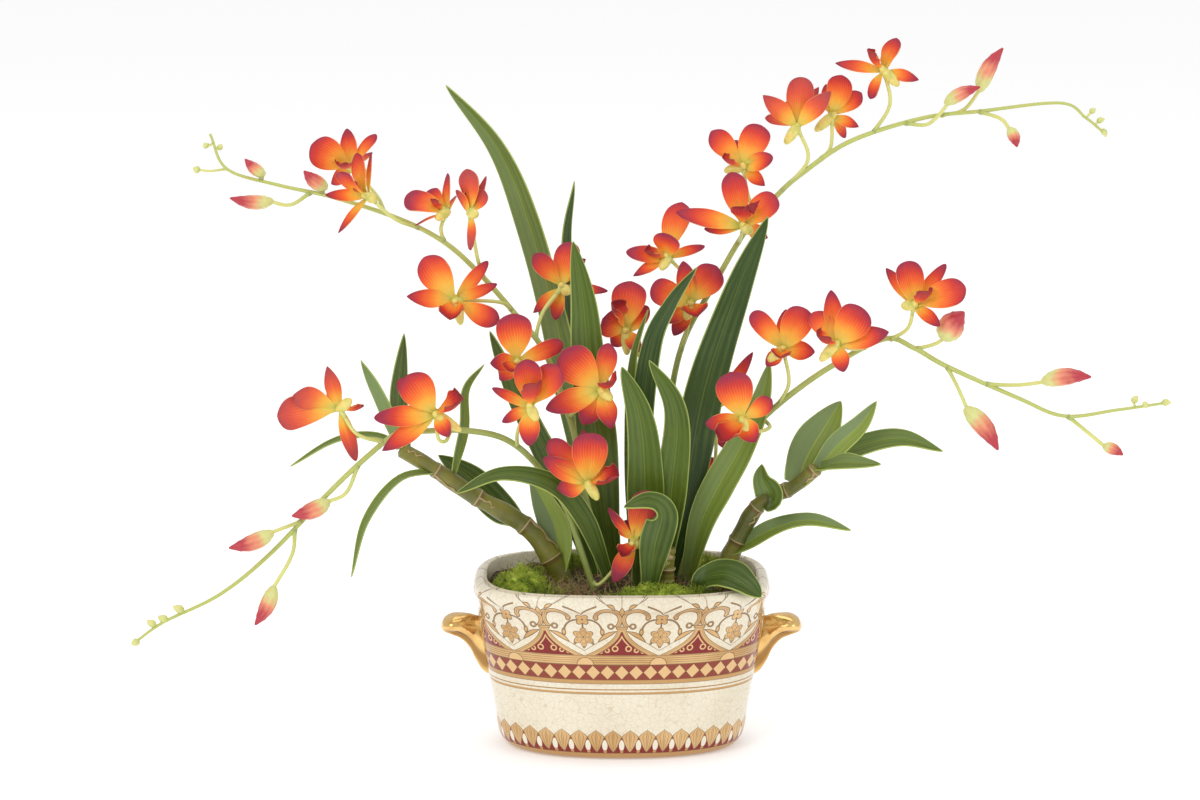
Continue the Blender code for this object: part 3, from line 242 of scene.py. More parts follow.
class Paint:
    """A number, colour or vector of a material. Python's operators on it add the nodes of a sum."""

    def __init__(self, tree, socket):
        self.tree = tree
        self.socket = socket

    def node(self, kind, settings, inputs, output=0):
        """The output of a new node, with these settings and these values or links on its sockets."""
        made = self.tree.nodes.new("ShaderNode" + kind)
        for name, value in settings.items():
            if name == "stops":
                made.color_ramp.elements.remove(made.color_ramp.elements[1])
                for k, (spot, colour) in enumerate(value):
                    stop = made.color_ramp.elements.new(spot) if k else made.color_ramp.elements[0]
                    stop.position = spot
                    stop.color = (*colour, 1)
            else:
                setattr(made, name, value)
        for name, value in inputs.items():
            if isinstance(value, Paint):
                self.tree.links.new(value.socket, made.inputs[name])
            else:
                made.inputs[name].default_value = value
        return Paint(self.tree, made.outputs[output])

    def sum(self, operation, *values, clamp=False):
        return self.node("Math", {"operation": operation, "use_clamp": clamp}, dict(enumerate(values)))

    def __add__(self, other):
        return self.sum("ADD", self, other)

    def __sub__(self, other):
        return self.sum("SUBTRACT", self, other)

    def __rsub__(self, other):
        return self.sum("SUBTRACT", other, self)

    def __mul__(self, other):
        return self.sum("MULTIPLY", self, other)

    def __truediv__(self, other):
        return self.sum("DIVIDE", self, other)

    def __pow__(self, other):
        return self.sum("POWER", self, other)

    def __abs__(self):
        return self.sum("ABSOLUTE", self)

    __radd__ = __add__
    __rmul__ = __mul__

    def squared(self):
        return self * self

    def or_less(self, other):
        return self.sum("MINIMUM", self, other)

    def or_more(self, other):
        return self.sum("MAXIMUM", self, other)

    def sine(self):
        return self.sum("SINE", self)

    def root(self):
        return self.sum("SQRT", self)

    def fraction(self):
        return self.sum("FRACT", self)

    def clipped(self):
        return self.sum("ADD", self, 0.0, clamp=True)

    def inside(self):
        """1 where this distance in mm is below zero, 0 outside, with a soft edge."""
        return self.sum("MULTIPLY_ADD", self, -1 / SOFT_EDGE, 0.5, clamp=True)

    def line(self, half):
        """1 where this distance is less than half on either side of zero, with soft edges."""
        return (abs(self) - half).inside()

    def step(self, low, high):
        """From 0 at low to 1 at high, smoothly."""
        settings = {"interpolation_type": "SMOOTHSTEP"}
        return self.node("MapRange", settings, {"Value": self, "From Min": low, "From Max": high})

    def mix(self, other, share):
        """This colour with a share of another one laid over it. A Mix node's colours are its inputs 6
        and 7 and its output 2."""
        other = other if isinstance(other, Paint) else (*other, 1)
        return self.node("Mix", {"data_type": "RGBA"}, {0: share, 6: self, 7: other}, 2)

    def ramp(self, *stops):
        return self.node("ValToRGB", {"stops": stops}, {"Fac": self})

    def noise(self, scale, detail=2.0, distortion=0.0):
        """Cloudy variation, from 0 to 1, at this scale per metre."""
        values = {"Vector": self, "Scale": scale, "Detail": detail, "Distortion": distortion}
        return self.node("TexNoise", {}, values)

    def part(self, axis):
        return self.node("SeparateXYZ", {}, {0: self}, axis)

    def mark(self, name):
        """A number that the mesh holds at each point."""
        return self.node("Attribute", {"attribute_name": name}, {}, 2)

    def along(self):
        return self.node("UVMap", {"uv_map": "shape"}, {}).part(0)

    def across(self):
        return self.node("UVMap", {"uv_map": "shape"}, {}).part(1)

    def bumped(self, depth):
        """A normal that follows this height, which counts for depth in metres."""
        return self.node("Bump", {}, {"Height": self, "Distance": depth, "Strength": 1.0})


def new_finish(name, **constants):
    """A material with these constants on its shader, its shader, and the place on the piece."""
    finish = bpy.data.materials.new(name)
    finish.use_nodes = True
    shader = finish.node_tree.nodes["Principled BSDF"]
    for socket, value in constants.items():
        shader.inputs[socket.replace("_", " ")].default_value = value
    start = Paint(finish.node_tree, None)
    return finish, shader, start.node("TexCoord", {}, {}, 3)


def feed(shader, **paints):
    for socket, paint in paints.items():
        paint.tree.links.new(paint.socket, shader.inputs[socket.replace("_", " ")])


def oval_point(half_width, half_depth, squareness, turn):
    """The point of a squared oval at this turn, as x and y in mm."""
    c, s = math.cos(turn), math.sin(turn)
    power = 2 / squareness
    x = math.copysign(abs(c) ** power, c) * half_width
    y = math.copysign(abs(s) ** power, s) * half_depth
    return x, y


def even_oval(half_width, half_depth, squareness, z, count):
    """Points at even distances round an oval, from the middle of its front towards the right."""
    turns = [math.tau * (k / OVAL_FINE - 0.25) for k in range(OVAL_FINE + 1)]
    fine = [oval_point(half_width, half_depth, squareness, turn) for turn in turns]
    run = [0.0]
    for (x, y), (next_x, next_y) in zip(fine, fine[1:]):
        run.append(run[-1] + math.hypot(next_x - x, next_y - y))
    ring, k = [], 0
    for i in range(count + 1):
        wanted = run[-1] * (i % count) / count
        while k < OVAL_FINE - 1 and run[k + 1] < wanted:
            k += 1
        k = 0 if i == count else k
        share = (wanted - run[k]) / max(run[k + 1] - run[k], 1e-9)
        x = fine[k][0] + (fine[k + 1][0] - fine[k][0]) * share
        y = fine[k][1] + (fine[k + 1][1] - fine[k][1]) * share
        ring.append(Vector((x, y, z)) * MM)
    return ring


profile = smooth_through([Vector(row) for row in POT_WALL], POT_STEPS)
rim_at = max(range(len(profile)), key=lambda i: profile[i][3])
pot_rows = [[Vector((0, 0, 0))] * (POT_ROUND + 1)]
pot_rows += [even_oval(*row, POT_ROUND) for row in profile]
pot_rows += [[Vector((0, 0, profile[-1][3] * MM))] * (POT_ROUND + 1)]
share_of_rim = (rim_at + 1) / (len(pot_rows) - 1)


def lens_shape(across, up, start, end, width, bow):
    """The distance in mm to a leaf of the print, from its start to its end point, bowed to one side."""
    length = math.dist(start, end)
    c, s = (end[0] - start[0]) / length, (end[1] - start[1]) / length
    share = ((across - start[0]) * (c / length) + (up - start[1]) * (s / length)).clipped()
    swell = (share * math.pi).sine()
    off = (up - start[1]) * c - (across - start[0]) * s
    return abs(off - swell * bow) - swell * width


def spot_distance(across, up, x, y, wide=1.0, high=1.0):
    """The distance to a spot of the print, counted as less along a side that is stretched."""
    return (((across - x) / wide).squared() + ((up - y) / high).squared()).root()


def printed_glaze():
    """Crackled cream glaze, with the print on the outside of the shell."""
    finish, shader, place = new_finish(
        "printed_glaze", Coat_Weight=0.5, Coat_Roughness=0.05, Specular_IOR_Level=0.25
    )
    up = place.part(2) / MM
    around = place.across()
    across = abs((around * ARCHES + 0.5).fraction() - 0.5) * ARCH_WIDTH
    back = ARCH_WIDTH / 2 - across
    outside = place.along().step(share_of_rim + RIM_FADE, share_of_rim)
    cloud = place.noise(30.0, 3.0)
    glaze = cloud.ramp((0.3, GLAZE_SHADE), (0.65, GLAZE_CREAM))
    sway = place.node("TexNoise", {}, {"Vector": place, "Scale": 90.0}, 1)
    swayed = place.node("VectorMath", {"operation": "MULTIPLY_ADD"}, {0: sway, 1: CRACKLE_SWAY, 2: place})
    for scale, dark in CRACKLE:
        cells = {"Vector": swayed, "Scale": scale}
        gap = place.node("TexVoronoi", {"feature": "DISTANCE_TO_EDGE"}, cells)
        glaze = glaze.mix(CRACKLE_TAN, (1 - gap.step(0.0, CRACKLE_LINE)) * dark)

    # Scrolls, sprigs and flowers of the cream zone, each as its distance in mm, then joined in one shape.
    top_flower = spot_distance(back, up, 0, TOP_FLOWER)
    low_flower = spot_distance(back, up, 0, LOW_FLOWER)
    four = back * abs(up - TOP_FLOWER) * 2 / top_flower.squared()
    lobes = back.sum("ARCTAN2", back, up - LOW_FLOWER) * 3
    petals = lobes.sum("COSINE", lobes)
    scroll = abs(spot_distance(across, up, 9.6, 110.4) - 8.4) - 1.45
    scroll = scroll.or_more((111.5 - up).or_less(across - 9.6))
    shapes = (
        (across - 3.8).or_more(abs(up - 103.8) - 0.95),
        scroll.or_more(104.5 - up),
        spot_distance(across, up, 17.3, 111.9, 1.0, 1.3) - 1.5,
        abs(spot_distance(across, up, 7.5, 105.0) - 1.8) - 0.55,
        *(lens_shape(across, up, *sprig) for sprig in SPRIGS),
        top_flower - 2.6 - four * 2.4,
        low_flower - 4.4 - abs(petals) * 3.2,
        spot_distance(back, up, 0, 88.6) - 0.8,
        spot_distance(back, up, 6.4, 91.4) - 0.8,
        (abs(up - 114.0 - back.or_more(0.0).root() * 2.5) - 0.5).or_more(back - 10.5),
        (abs(spot_distance(back, up, 3.4, 100.8) - 9.6) - 0.5).or_more(3.4 - back).or_more(102.0 - up),
        spot_distance(back, up, 13.3, 100.4, 1.4, 2.6) * 1.4 - 1.4,
        (back - 0.4).or_more(abs(up - 105.6) - 3.0),
    )
    ornament = shapes[0]
    for shape in shapes[1:]:
        ornament = ornament.or_less(shape)

    # The arches with the curls in them, and the half domes between their feet.
    fall = ARCH_TOP - up
    arch = across - fall.squared() * ARCH_BOW - ARCH_TIP
    arch = arch / ((fall * (2 * ARCH_BOW)).squared() + 1).root()
    arch = arch.or_more(up - ARCH_TOP + 0.1)
    curls = (abs(arch + 4.5) - 0.4).or_more(90.0 - up)
    for x, y, radius, half in CURLS:
        curls = curls.or_less(abs(spot_distance(across, up, x, y) - radius) - half)
    dome = (spot_distance(back, up, 0, DOME_FOOT, 1.07) - 5.8).or_more(DOME_FOOT - up)
    stripes = ((up - DOME_FOOT) * 3.9).sine().step(0.45, 0.9)
    stripe_band = (up - STRIPE_BAND[0]).line(STRIPE_BAND[1])

    # The row of diamonds: tile goes from 0 in the middle of one to 1 on its edge.
    tile = abs((around * ARCHES * TILES_PER_ARCH + 0.5).fraction() - 0.5) * 2
    tile = tile + abs(up - TILE_BAND[0]) / TILE_SLOPE
    tile_band = (up - TILE_BAND[0]).line(TILE_BAND[1])
    hatch = (tile * 22.0).sine().step(0.2, 0.8)

    # The fans round the foot, with a drop and a dot between each two.
    rib = abs((around * FANS).fraction() - 0.5) * 2
    taper = ((up - 7.2) / 11.8).clipped() ** 0.75
    fan_width = taper.or_less(1 - ((up - 19.0) / 5.2).clipped() ** 1.3)
    fan = (rib - fan_width) * FAN_HALF_WIDTH
    between = (1 - rib) * FAN_HALF_WIDTH
    drop = spot_distance(between, up, 0, 12.6, 2.0, 4.3) * 2 - 2
    dot = spot_distance(between, up, 0, 7.6) - 1.3
    threads = ((rib / fan_width.or_more(0.05)) * 15.0).sine().step(0.6, 0.95)

    # Each ink is a colour and how gilded it is, and each layer an ink and where it lies.
    bare, cream, red, brown = (glaze, 0.0), (GLAZE_CREAM, 0.0), (PRINT_RED, 0.0), (PRINT_BROWN, 0.4)
    thin_gold, gold, pale_gold = (PRINT_GOLD, 0.6), (PRINT_GOLD, 1.0), (PRINT_GOLD_PALE, 1.0)
    worn_gold = (cloud.ramp((0.32, PRINT_GOLD), (0.66, PRINT_GOLD_PALE)), 1.0)
    layers = (
        (worn_gold, ornament.inside()),
        (brown, (ornament + 0.12).line(0.3)),
        (brown, (low_flower - 2.6 - abs(petals) * 2.6).line(0.16) * 0.8),
        (brown, ((abs(petals) - 0.1) * 4).inside() * (low_flower - 6.0).inside() * 0.6),
        (pale_gold, (low_flower - 1.5).inside()),
        (brown, (low_flower - 0.8).inside().or_more((low_flower - 1.6).line(0.16))),
        (brown, (top_flower - 0.7).inside()),
        (brown, (scroll + 1.3).line(0.12) * (ornament + 0.5).inside() * 0.6),
        (worn_gold, arch.inside()),
        (red, (arch + 3.1).inside()),
        (pale_gold, curls.inside() * (arch + 3.4).inside()),
        (brown, (abs(arch + 1.6) - 1.35).line(0.22) * 0.85),
        (brown, (arch + 1.3).line(0.14) * 0.6),
        (bare, (up - ARCH_FOOT).inside()),
        (worn_gold, stripe_band),
        (brown, stripe_band * stripes * 0.7),
        (pale_gold, dome.inside()),
        (brown, dome.line(0.25)),
        (red, tile_band),
        (thin_gold, tile_band * hatch * 0.3),
        (pale_gold, (up - TILE_BAND[0]).line(TILE_BAND[1] - 0.2) * ((tile - 0.95) * 4).inside()),
        (brown, tile_band * ((tile - 0.97) * 5.3).line(0.2) * 0.8),
        *((gold, (up - height).line(half)) for height, half in GOLD_LINES),
        *((brown, (up - height).line(half) * share) for height, half, share in BROWN_LINES),
        (red, (up - FAN_GROUND).inside() * (fan * -1).inside()),
        (cream, drop.inside()),
        (gold, dot.inside()),
        (worn_gold, fan.inside() * (up - FAN_TOP).inside()),
        (brown, fan.inside() * threads * 0.55),
        (brown, fan.line(0.22) * (up - FAN_TOP + 0.4).inside() * (6.0 - up).inside() * 0.85),
        (gold, (up - FOOT_LINE).inside()),
        (brown, (up - FOOT_LINE).line(0.2) * 0.8),
    )
    colour, gilt = glaze, up * 0
    for (shade, shine), mask in layers:
        colour = colour.mix(shade, mask)
        gilt = gilt + (shine - gilt) * mask
    gilt = gilt * outside
    feed(shader, Base_Color=glaze.mix(colour, outside), Metallic=gilt * 0.55, Roughness=0.16 + gilt * 0.16)
    feed(shader, Normal=(gilt + cloud * 0.5).bumped(0.05 * MM))
    return finish


finish_piece("pot_shell", [(sheet(pot_rows), printed_glaze())], "glaze", "pot")

# The handles: two solid lugs of the same clay, fixed to the ends of the shell and gilded all over. Each
# springs up and outwards from a tall root and flares to a broad rounded lip, hollow along its flanks.
# Each row, in mm: how far out, its height, and its half width and half height there.
HANDLE = (
    (95.6, 72.0, 8.2, 21.2), (99.5, 73.2, 8.4, 20.6), (103.2, 75.8, 8.8, 19.2), (106.8, 79.5, 9.0, 16.5),
    (110.5, 84.0, 10.5, 13.0), (116.5, 87.8, 13.0, 9.6), (123.5, 89.4, 14.0, 7.6), (129.0, 89.0, 10.5, 5.2),
    (131.4, 88.2, 4.5, 2.2),
)
HANDLE_ROUND = 40
HANDLE_STEPS = 6
FLANK_HOLLOW = 0.42
FLANK_PLACE, FLANK_SPREAD = -0.5, 0.34
FLANK_END, FLANK_FADE = 136, 18
GILT_SHADOW = (0.26, 0.115, 0.028)
GILT_DEEP = (0.60, 0.31, 0.075)
GILT_BRIGHT = (0.88, 0.58, 0.22)


def gilded():
    """Burnished gold, worn paler in patches, with painted shade that darkens it in the hollows of the
    flanks.
    """
    finish, shader, place = new_finish("gilt", Metallic=1.0, Coat_Weight=0.3, Coat_Roughness=0.04)
    worn = place.noise(70.0, 4.0)
    gold = worn.ramp((0.25, GILT_DEEP), (0.6, GILT_BRIGHT))
    # Painted shade: the gilt is mixed towards a dark brown where the flanks are hollow, where shade falls.
    feed(shader, Base_Color=gold.mix(GILT_SHADOW, place.mark("hollow").step(0.15, 0.85) * 0.8))
    feed(shader, Roughness=0.12 + worn * 0.16, Normal=place.noise(160.0, 2.0).bumped(0.12 * MM))
    return finish


def handle_rows(side):
    """The rings of one lug, from its root outwards, and how hollow it is at each of their points."""
    rows, hollows = [], []
    for out, z, half_width, half_height in smooth_through([Vector(row) for row in HANDLE], HANDLE_STEPS):
        ring, hollow = [], []
        for k in range(HANDLE_ROUND + 1):
            turn = math.tau * (k % HANDLE_ROUND) / HANDLE_ROUND
            y, high = half_width * math.cos(turn), half_height * math.sin(turn)
            deep = math.exp(-(((math.sin(turn) - FLANK_PLACE) / FLANK_SPREAD) ** 2))
            hollow.append(deep * min((FLANK_END - out) / FLANK_FADE, 1))
            y *= 1 - FLANK_HOLLOW * hollow[-1]
            ring.append(Vector((side * out, y, z + high)) * MM)
        rows.append(ring)
        hollows.append(hollow)
    first, last = (sum(rows[end][1:], Vector()) / HANDLE_ROUND for end in (0, -1))
    plain = [0.0] * (HANDLE_ROUND + 1)
    rows = [[first] * (HANDLE_ROUND + 1)] + rows + [[last] * (HANDLE_ROUND + 1)]
    return rows, [plain] + hollows + [plain]


gilt = gilded()
for side, name in ((-1, "handle_left"), (1, "handle_right")):
    rows, hollows = handle_rows(side)
    finish_piece(name + "_lug", [(sheet(rows, None, {"hollow": hollows}), gilt)], "gilt", name)

# The planting: an open mix of dark soil, chopped bark and coir fibre, filled to just below the rim, with
# loose crumbs and curled dry fibres lying on it. The rougher mats of bark lie beside the moss.
SOIL_TOP = 119
SOIL_EDGE = (96.2, 61.6, 3.0)
SOIL_FLOOR = 104
SOIL_RINGS, SOIL_ROUND = 54, 200
SOIL_LUMP, SOIL_LUMPS_PER_MM = 2.1, 0.11
CRUMBS = 330
CRUMB_SIZE = (0.9, 2.3)
MAT_CRUMBS = 70
MAT_CRUMB_SIZE = (1.2, 2.9)
FIBRES = 1500
FIBRE_RADIUS = 0.28
FIBRE_LENGTH = (5, 12)
FIBRE_WANDER = 0.75
THREAD_STEPS = 5
# Each mat's middle, half width and half depth, in mm.
BARK = {"bark_left": (-38, -28, 11, 13), "bark_right": (68, -8, 13, 12)}
EARTH = ((0.0, (0.012, 0.008, 0.005)), (0.45, (0.045, 0.024, 0.012)), (0.6, (0.12, 0.066, 0.03)),
         (0.72, (0.055, 0.05, 0.015)), (1.0, (0.20, 0.125, 0.06)))
BARK_SHADES = ((0.2, (0.075, 0.034, 0.017)), (0.5, (0.24, 0.118, 0.054)), (0.75, (0.42, 0.25, 0.13)))
FIBRE_SHADES = ((0.25, (0.07, 0.04, 0.02)), (0.45, (0.27, 0.16, 0.075)), (0.58, (0.36, 0.29, 0.12)),
                (0.72, (0.17, 0.20, 0.04)), (0.9, (0.42, 0.30, 0.17)))
dice = random.Random(7)


def speckled(name, shades, scale, depth):
    """A rough, dull finish whose colour changes from crumb to crumb."""
    finish, shader, place = new_finish(name, Roughness=0.9)
    grain = place.noise(scale, 5.0, 0.6)
    cells = place.node("TexVoronoi", {}, {"Vector": place, "Scale": scale * 1.3}, 1).part(0)
    feed(shader, Base_Color=(grain * 0.7 + cells * 0.35).ramp(*shades), Normal=grain.bumped(depth))
    return finish


def ground(x, y):
    """The height of the soil's lumpy surface, in mm."""
    rough = noise.fractal(Vector((x, y, 3.0)) * SOIL_LUMPS_PER_MM, 0.7, 2.2, 4)
    return SOIL_TOP + 0.4 + SOIL_LUMP * rough


def soil_rows():
    """Rings of the soil from its middle to the wall, then down its side and under it."""
    rows = [[Vector((0, 0, ground(0, 0))) * MM] * (SOIL_ROUND + 1)]
    for i in range(1, SOIL_RINGS + 1):
        out = i / SOIL_RINGS
        ring = even_oval(SOIL_EDGE[0] * out, SOIL_EDGE[1] * out, 2 + out, 0, SOIL_ROUND)
        rows.append([Vector((p.x, p.y, ground(p.x / MM, p.y / MM) * MM)) for p in ring])
    edge = even_oval(*SOIL_EDGE, SOIL_FLOOR, SOIL_ROUND)
    return rows + [edge, [Vector((0, 0, SOIL_FLOOR)) * MM] * (SOIL_ROUND + 1)]


def in_oval(x, y, half_width, half_depth):
    return abs(x / half_width) ** 3 + abs(y / half_depth) ** 3 < 1


def place_in_pot():
    """A random spot on the soil, in mm."""
    while True:
        x, y = dice.uniform(-92, 92), dice.uniform(-58, 58)
        if in_oval(x, y, 91, 57):
            return x, y


def kept_in_pot(threads, half_width=95, half_depth=60):
    """The threads that don't reach into the wall."""
    return [points for points in threads if all(in_oval(p.x, p.y, half_width, half_depth) for p in points)]


def add_crumb(bm, x, y, size):
    """A torn chip of bark: a small ball, flattened and roughened."""
    made = bmesh.ops.create_icosphere(bm, subdivisions=1, radius=size * MM)["verts"]
    stretch = Vector((dice.uniform(0.8, 1.9), dice.uniform(0.6, 1.1), dice.uniform(0.35, 0.7)))
    heading = Vector((dice.uniform(-1, 1), dice.uniform(-1, 1), dice.uniform(-0.4, 0.4)))
    turn = heading.to_track_quat("X", "Z")
    middle = Vector((x, y, ground(x, y) + size * 0.25)) * MM
    for vert in made:
        jag = 1 + 0.35 * noise.noise(vert.co / MM * 1.7 + middle * 400)
        vert.co = middle + turn @ (vert.co * stretch * jag)


def curled(start, heading, length, wander, floor=None):
    """The points of one short curled thread, in mm, kept this far above the ground if floor is given."""
    points, ahead = [start], heading.normalized()
    for step in range(THREAD_STEPS):
        ahead = (ahead + Vector([dice.uniform(-wander, wander) for axis in range(3)])).normalized()
        point = points[-1] + ahead * (length / THREAD_STEPS)
        if floor is not None:
            point.z = max(point.z, ground(point.x, point.y) + floor)
        points.append(point)
    return points


def lying_thread(x, y, raised, climb, length, wander, floor):
    """A thread that starts on the ground at this spot. raised, climb and length are ranges."""
    start = Vector((x, y, ground(x, y) + dice.uniform(*raised)))
    heading = Vector((dice.uniform(-1, 1), dice.uniform(-1, 1), dice.uniform(*climb)))
    return curled(start, heading, dice.uniform(*length), wander, floor)


def threads_piece(name, threads, radius, finish, slot, *nodes):
    """Many thin threads in one piece, each a four-sided strand with its tip drawn out."""
    strands = bpy.data.curves.new("strands", "CURVE")
    strands.dimensions = "3D"
    strands.bevel_depth = radius * MM
    strands.bevel_resolution = 0
    strands.use_fill_caps = True
    thinned = [1.0 - 0.6 * (k / THREAD_STEPS) ** 2 for k in range(THREAD_STEPS + 1)]
    for points in threads:
        strand = strands.splines.new("POLY")
        strand.points.add(THREAD_STEPS)
        strand.points.foreach_set("co", [value for point in points for value in (*(point * MM), 1)])
        strand.points.foreach_set("radius", thinned)
    strands.materials.append(finish)
    holder = bpy.data.objects.new("strands", strands)
    mesh = bpy.data.meshes.new_from_object(holder)
    bpy.data.objects.remove(holder)
    place_piece(name, mesh, slot, *nodes)


earth = speckled("earth", EARTH, 260.0, 1.2 * MM)
bark_finish = speckled("bark_chips", BARK_SHADES, 330.0, 0.6 * MM)
fibre_finish = speckled("dry_fibre", FIBRE_SHADES, 210.0, 0.3 * MM)
finish_piece("soil_bed", [(sheet(soil_rows()), earth)], "soil", "soil")

crumbs = bmesh.new()
for k in range(CRUMBS):
    add_crumb(crumbs, *place_in_pot(), dice.uniform(*CRUMB_SIZE))
for x, y, half_width, half_depth in BARK.values():
    for k in range(MAT_CRUMBS):
        turn, out = dice.uniform(0, math.tau), math.sqrt(dice.random())
        px, py = x + half_width * out * math.cos(turn), y + half_depth * out * math.sin(turn)
        add_crumb(crumbs, px, py, dice.uniform(*MAT_CRUMB_SIZE))
bmesh.ops.recalc_face_normals(crumbs, faces=crumbs.faces)
finish_piece("bark_crumbs", [(crumbs, bark_finish)], "bark", *BARK)

fibres = []
for k in range(FIBRES):
    x, y = place_in_pot()
    if k % 3 == 0:
        x, y, half_width, half_depth = BARK["bark_left" if k % 2 else "bark_right"]
        x, y = x + dice.gauss(0, half_width * 0.7), y + dice.gauss(0, half_depth * 0.6)
    fibres.append(lying_thread(x, y, (-0.5, 1.5), (-0.1, 0.8), FIBRE_LENGTH, FIBRE_WANDER, 0.1))
threads_piece("dry_fibres", kept_in_pot(fibres), FIBRE_RADIUS, fibre_finish, "bark")

# The moss: cushions of bright sheet moss laid on the soil, with painted shade that darkens them low down and
# painted light that brightens their crowns. Each is a low mound under a pile of short curled threads, and
# loose wisps of the same moss lie between them.
# Each cushion's middle, half width, half depth and height, in mm.
MOSS = {
    "moss_left": (-73, -18, 18, 24, 18),
    "moss_front": (26, -44, 28, 10, 14),
    "moss_back_left": (-39, 44, 13, 9, 16),
    "moss_back_right": (62, 40, 13, 9, 14),
}
MOUND_RINGS, MOUND_ROUND = 12, 40
CURLS_PER_SQUARE_MM = 0.828
CURL_RADIUS = 0.27
CURL_LENGTH = (3.0, 6.2)
CURL_WANDER = 0.85
# Where wisps lie: the middle, half width and half depth in mm, and how many there are.
WISPS = (
    (58, -36, 12, 6, 260), (2, -47, 12, 5, 120), (-52, -38, 10, 6, 90), (76, 22, 7, 12, 110),
    (-62, 26, 12, 9, 110),
)
WISP_LENGTH = (6, 13)
WISP_WANDER = 0.8
MOSS_CROWN = 126
MOSS_SHADES = ((0.28, (0.050, 0.070, 0.008)), (0.44, (0.18, 0.26, 0.016)), (0.6, (0.36, 0.46, 0.035)),
               (0.82, (0.56, 0.60, 0.12)))


def mossy():
    """Green in random patches, darkened by painted shade low in a cushion's hollows and brightened by
    painted light on its crowns.
    """
    finish, shader, place = new_finish(
        "moss", Roughness=0.8, Subsurface_Weight=0.1, Subsurface_Scale=0.001
    )
    # Painted light and shade: besides the random patches, the green gets brighter higher up a cushion and
    # darker lower down.
    lit = place.noise(170.0, 3.0, 0.4) + (place.part(2) / MM - MOSS_CROWN) * 0.012
    feed(shader, Base_Color=lit.ramp(*MOSS_SHADES))
    return finish


def mound(x, y, half_width, half_depth, height, turn, out):
    """A point of a lumpy cushion, in mm: turn goes round it and out goes from its crown to its edge."""
    c, s = math.cos(turn), math.sin(turn)
    lump = 1 + 0.22 * noise.noise(Vector((c * 1.6 * out, s * 1.6 * out, x * 0.1)))
    px = x + half_width * out * lump * c
    py = y + half_depth * out * lump * s
    swell = math.sqrt(max(1 - out**2.4, 0)) * (0.86 + 0.3 * noise.noise(Vector((px, py, 0)) * 0.13))
    return Vector((px, py, SOIL_TOP - 1 + (height + 1) * swell))


moss_finish = mossy()
for name, (x, y, half_width, half_depth, height) in MOSS.items():
    oval = (x, y, half_width, half_depth)
    turns = [math.tau * (k % MOUND_ROUND) / MOUND_ROUND for k in range(MOUND_ROUND + 1)]
    outs = [i / MOUND_RINGS for i in range(MOUND_RINGS + 1)]
    cushion = [[mound(*oval, height - 2.5, turn, out) * MM for turn in turns] for out in outs]
    floor_row = [Vector((x, y, SOIL_TOP - 1)) * MM] * (MOUND_ROUND + 1)
    finish_piece(name + "_cushion", [(sheet(cushion + [floor_row]), moss_finish)], "moss", name)
    curls = []
    for k in range(int(half_width * half_depth * math.pi * CURLS_PER_SQUARE_MM)):
        turn, out = dice.uniform(0, math.tau), math.sqrt(dice.random())
        heading = Vector((math.cos(turn) * out, math.sin(turn) * out, 0.9 - 0.5 * out))
        start = mound(*oval, height - 3, turn, out)
        curls.append(curled(start, heading, dice.uniform(*CURL_LENGTH), CURL_WANDER))
    threads_piece(name + "_threads", kept_in_pot(curls, 96, 61.5), CURL_RADIUS, moss_finish, "moss", name)

wisps = []
for x, y, half_width, half_depth, count in WISPS:
    for k in range(count):
        px, py = x + dice.gauss(0, half_width * 0.6), y + dice.gauss(0, half_depth * 0.6)
        wisps.append(lying_thread(px, py, (0, 2), (0.1, 1.0), WISP_LENGTH, WISP_WANDER, 0.2))
threads_piece("moss_wisps", kept_in_pot(wisps), CURL_RADIUS, moss_finish, "moss")

# The strap leaves: thick, leathery and folded along the midrib, each standing in the soil on its own foot.
# They are deep green above, greyer below, finely veined lengthwise, with a thin pale margin.
LEAN = 60
LEAN_CENTRE = (620, 560)
LEAN_START = 150
LEAN_FULL = 550
FOOT_RISE = 4
BURIED = 6
LEAF_THICK = 0.9
LEAF_KEEL = 0.2
LEAF_SHOULDER = 0.45
LEAF_RIPPLE, LEAF_RIPPLES = 0.06, 17
LEAF_TILT, LEAF_TILTS = 0.03, 9
LEAF_BENDS = 10
LEAF_ROWS = 46
LEAF_COLUMNS = 16
LEAF_VEINS = 150.0
LEAF_BANDS = 31.0
MARGIN = 0.75
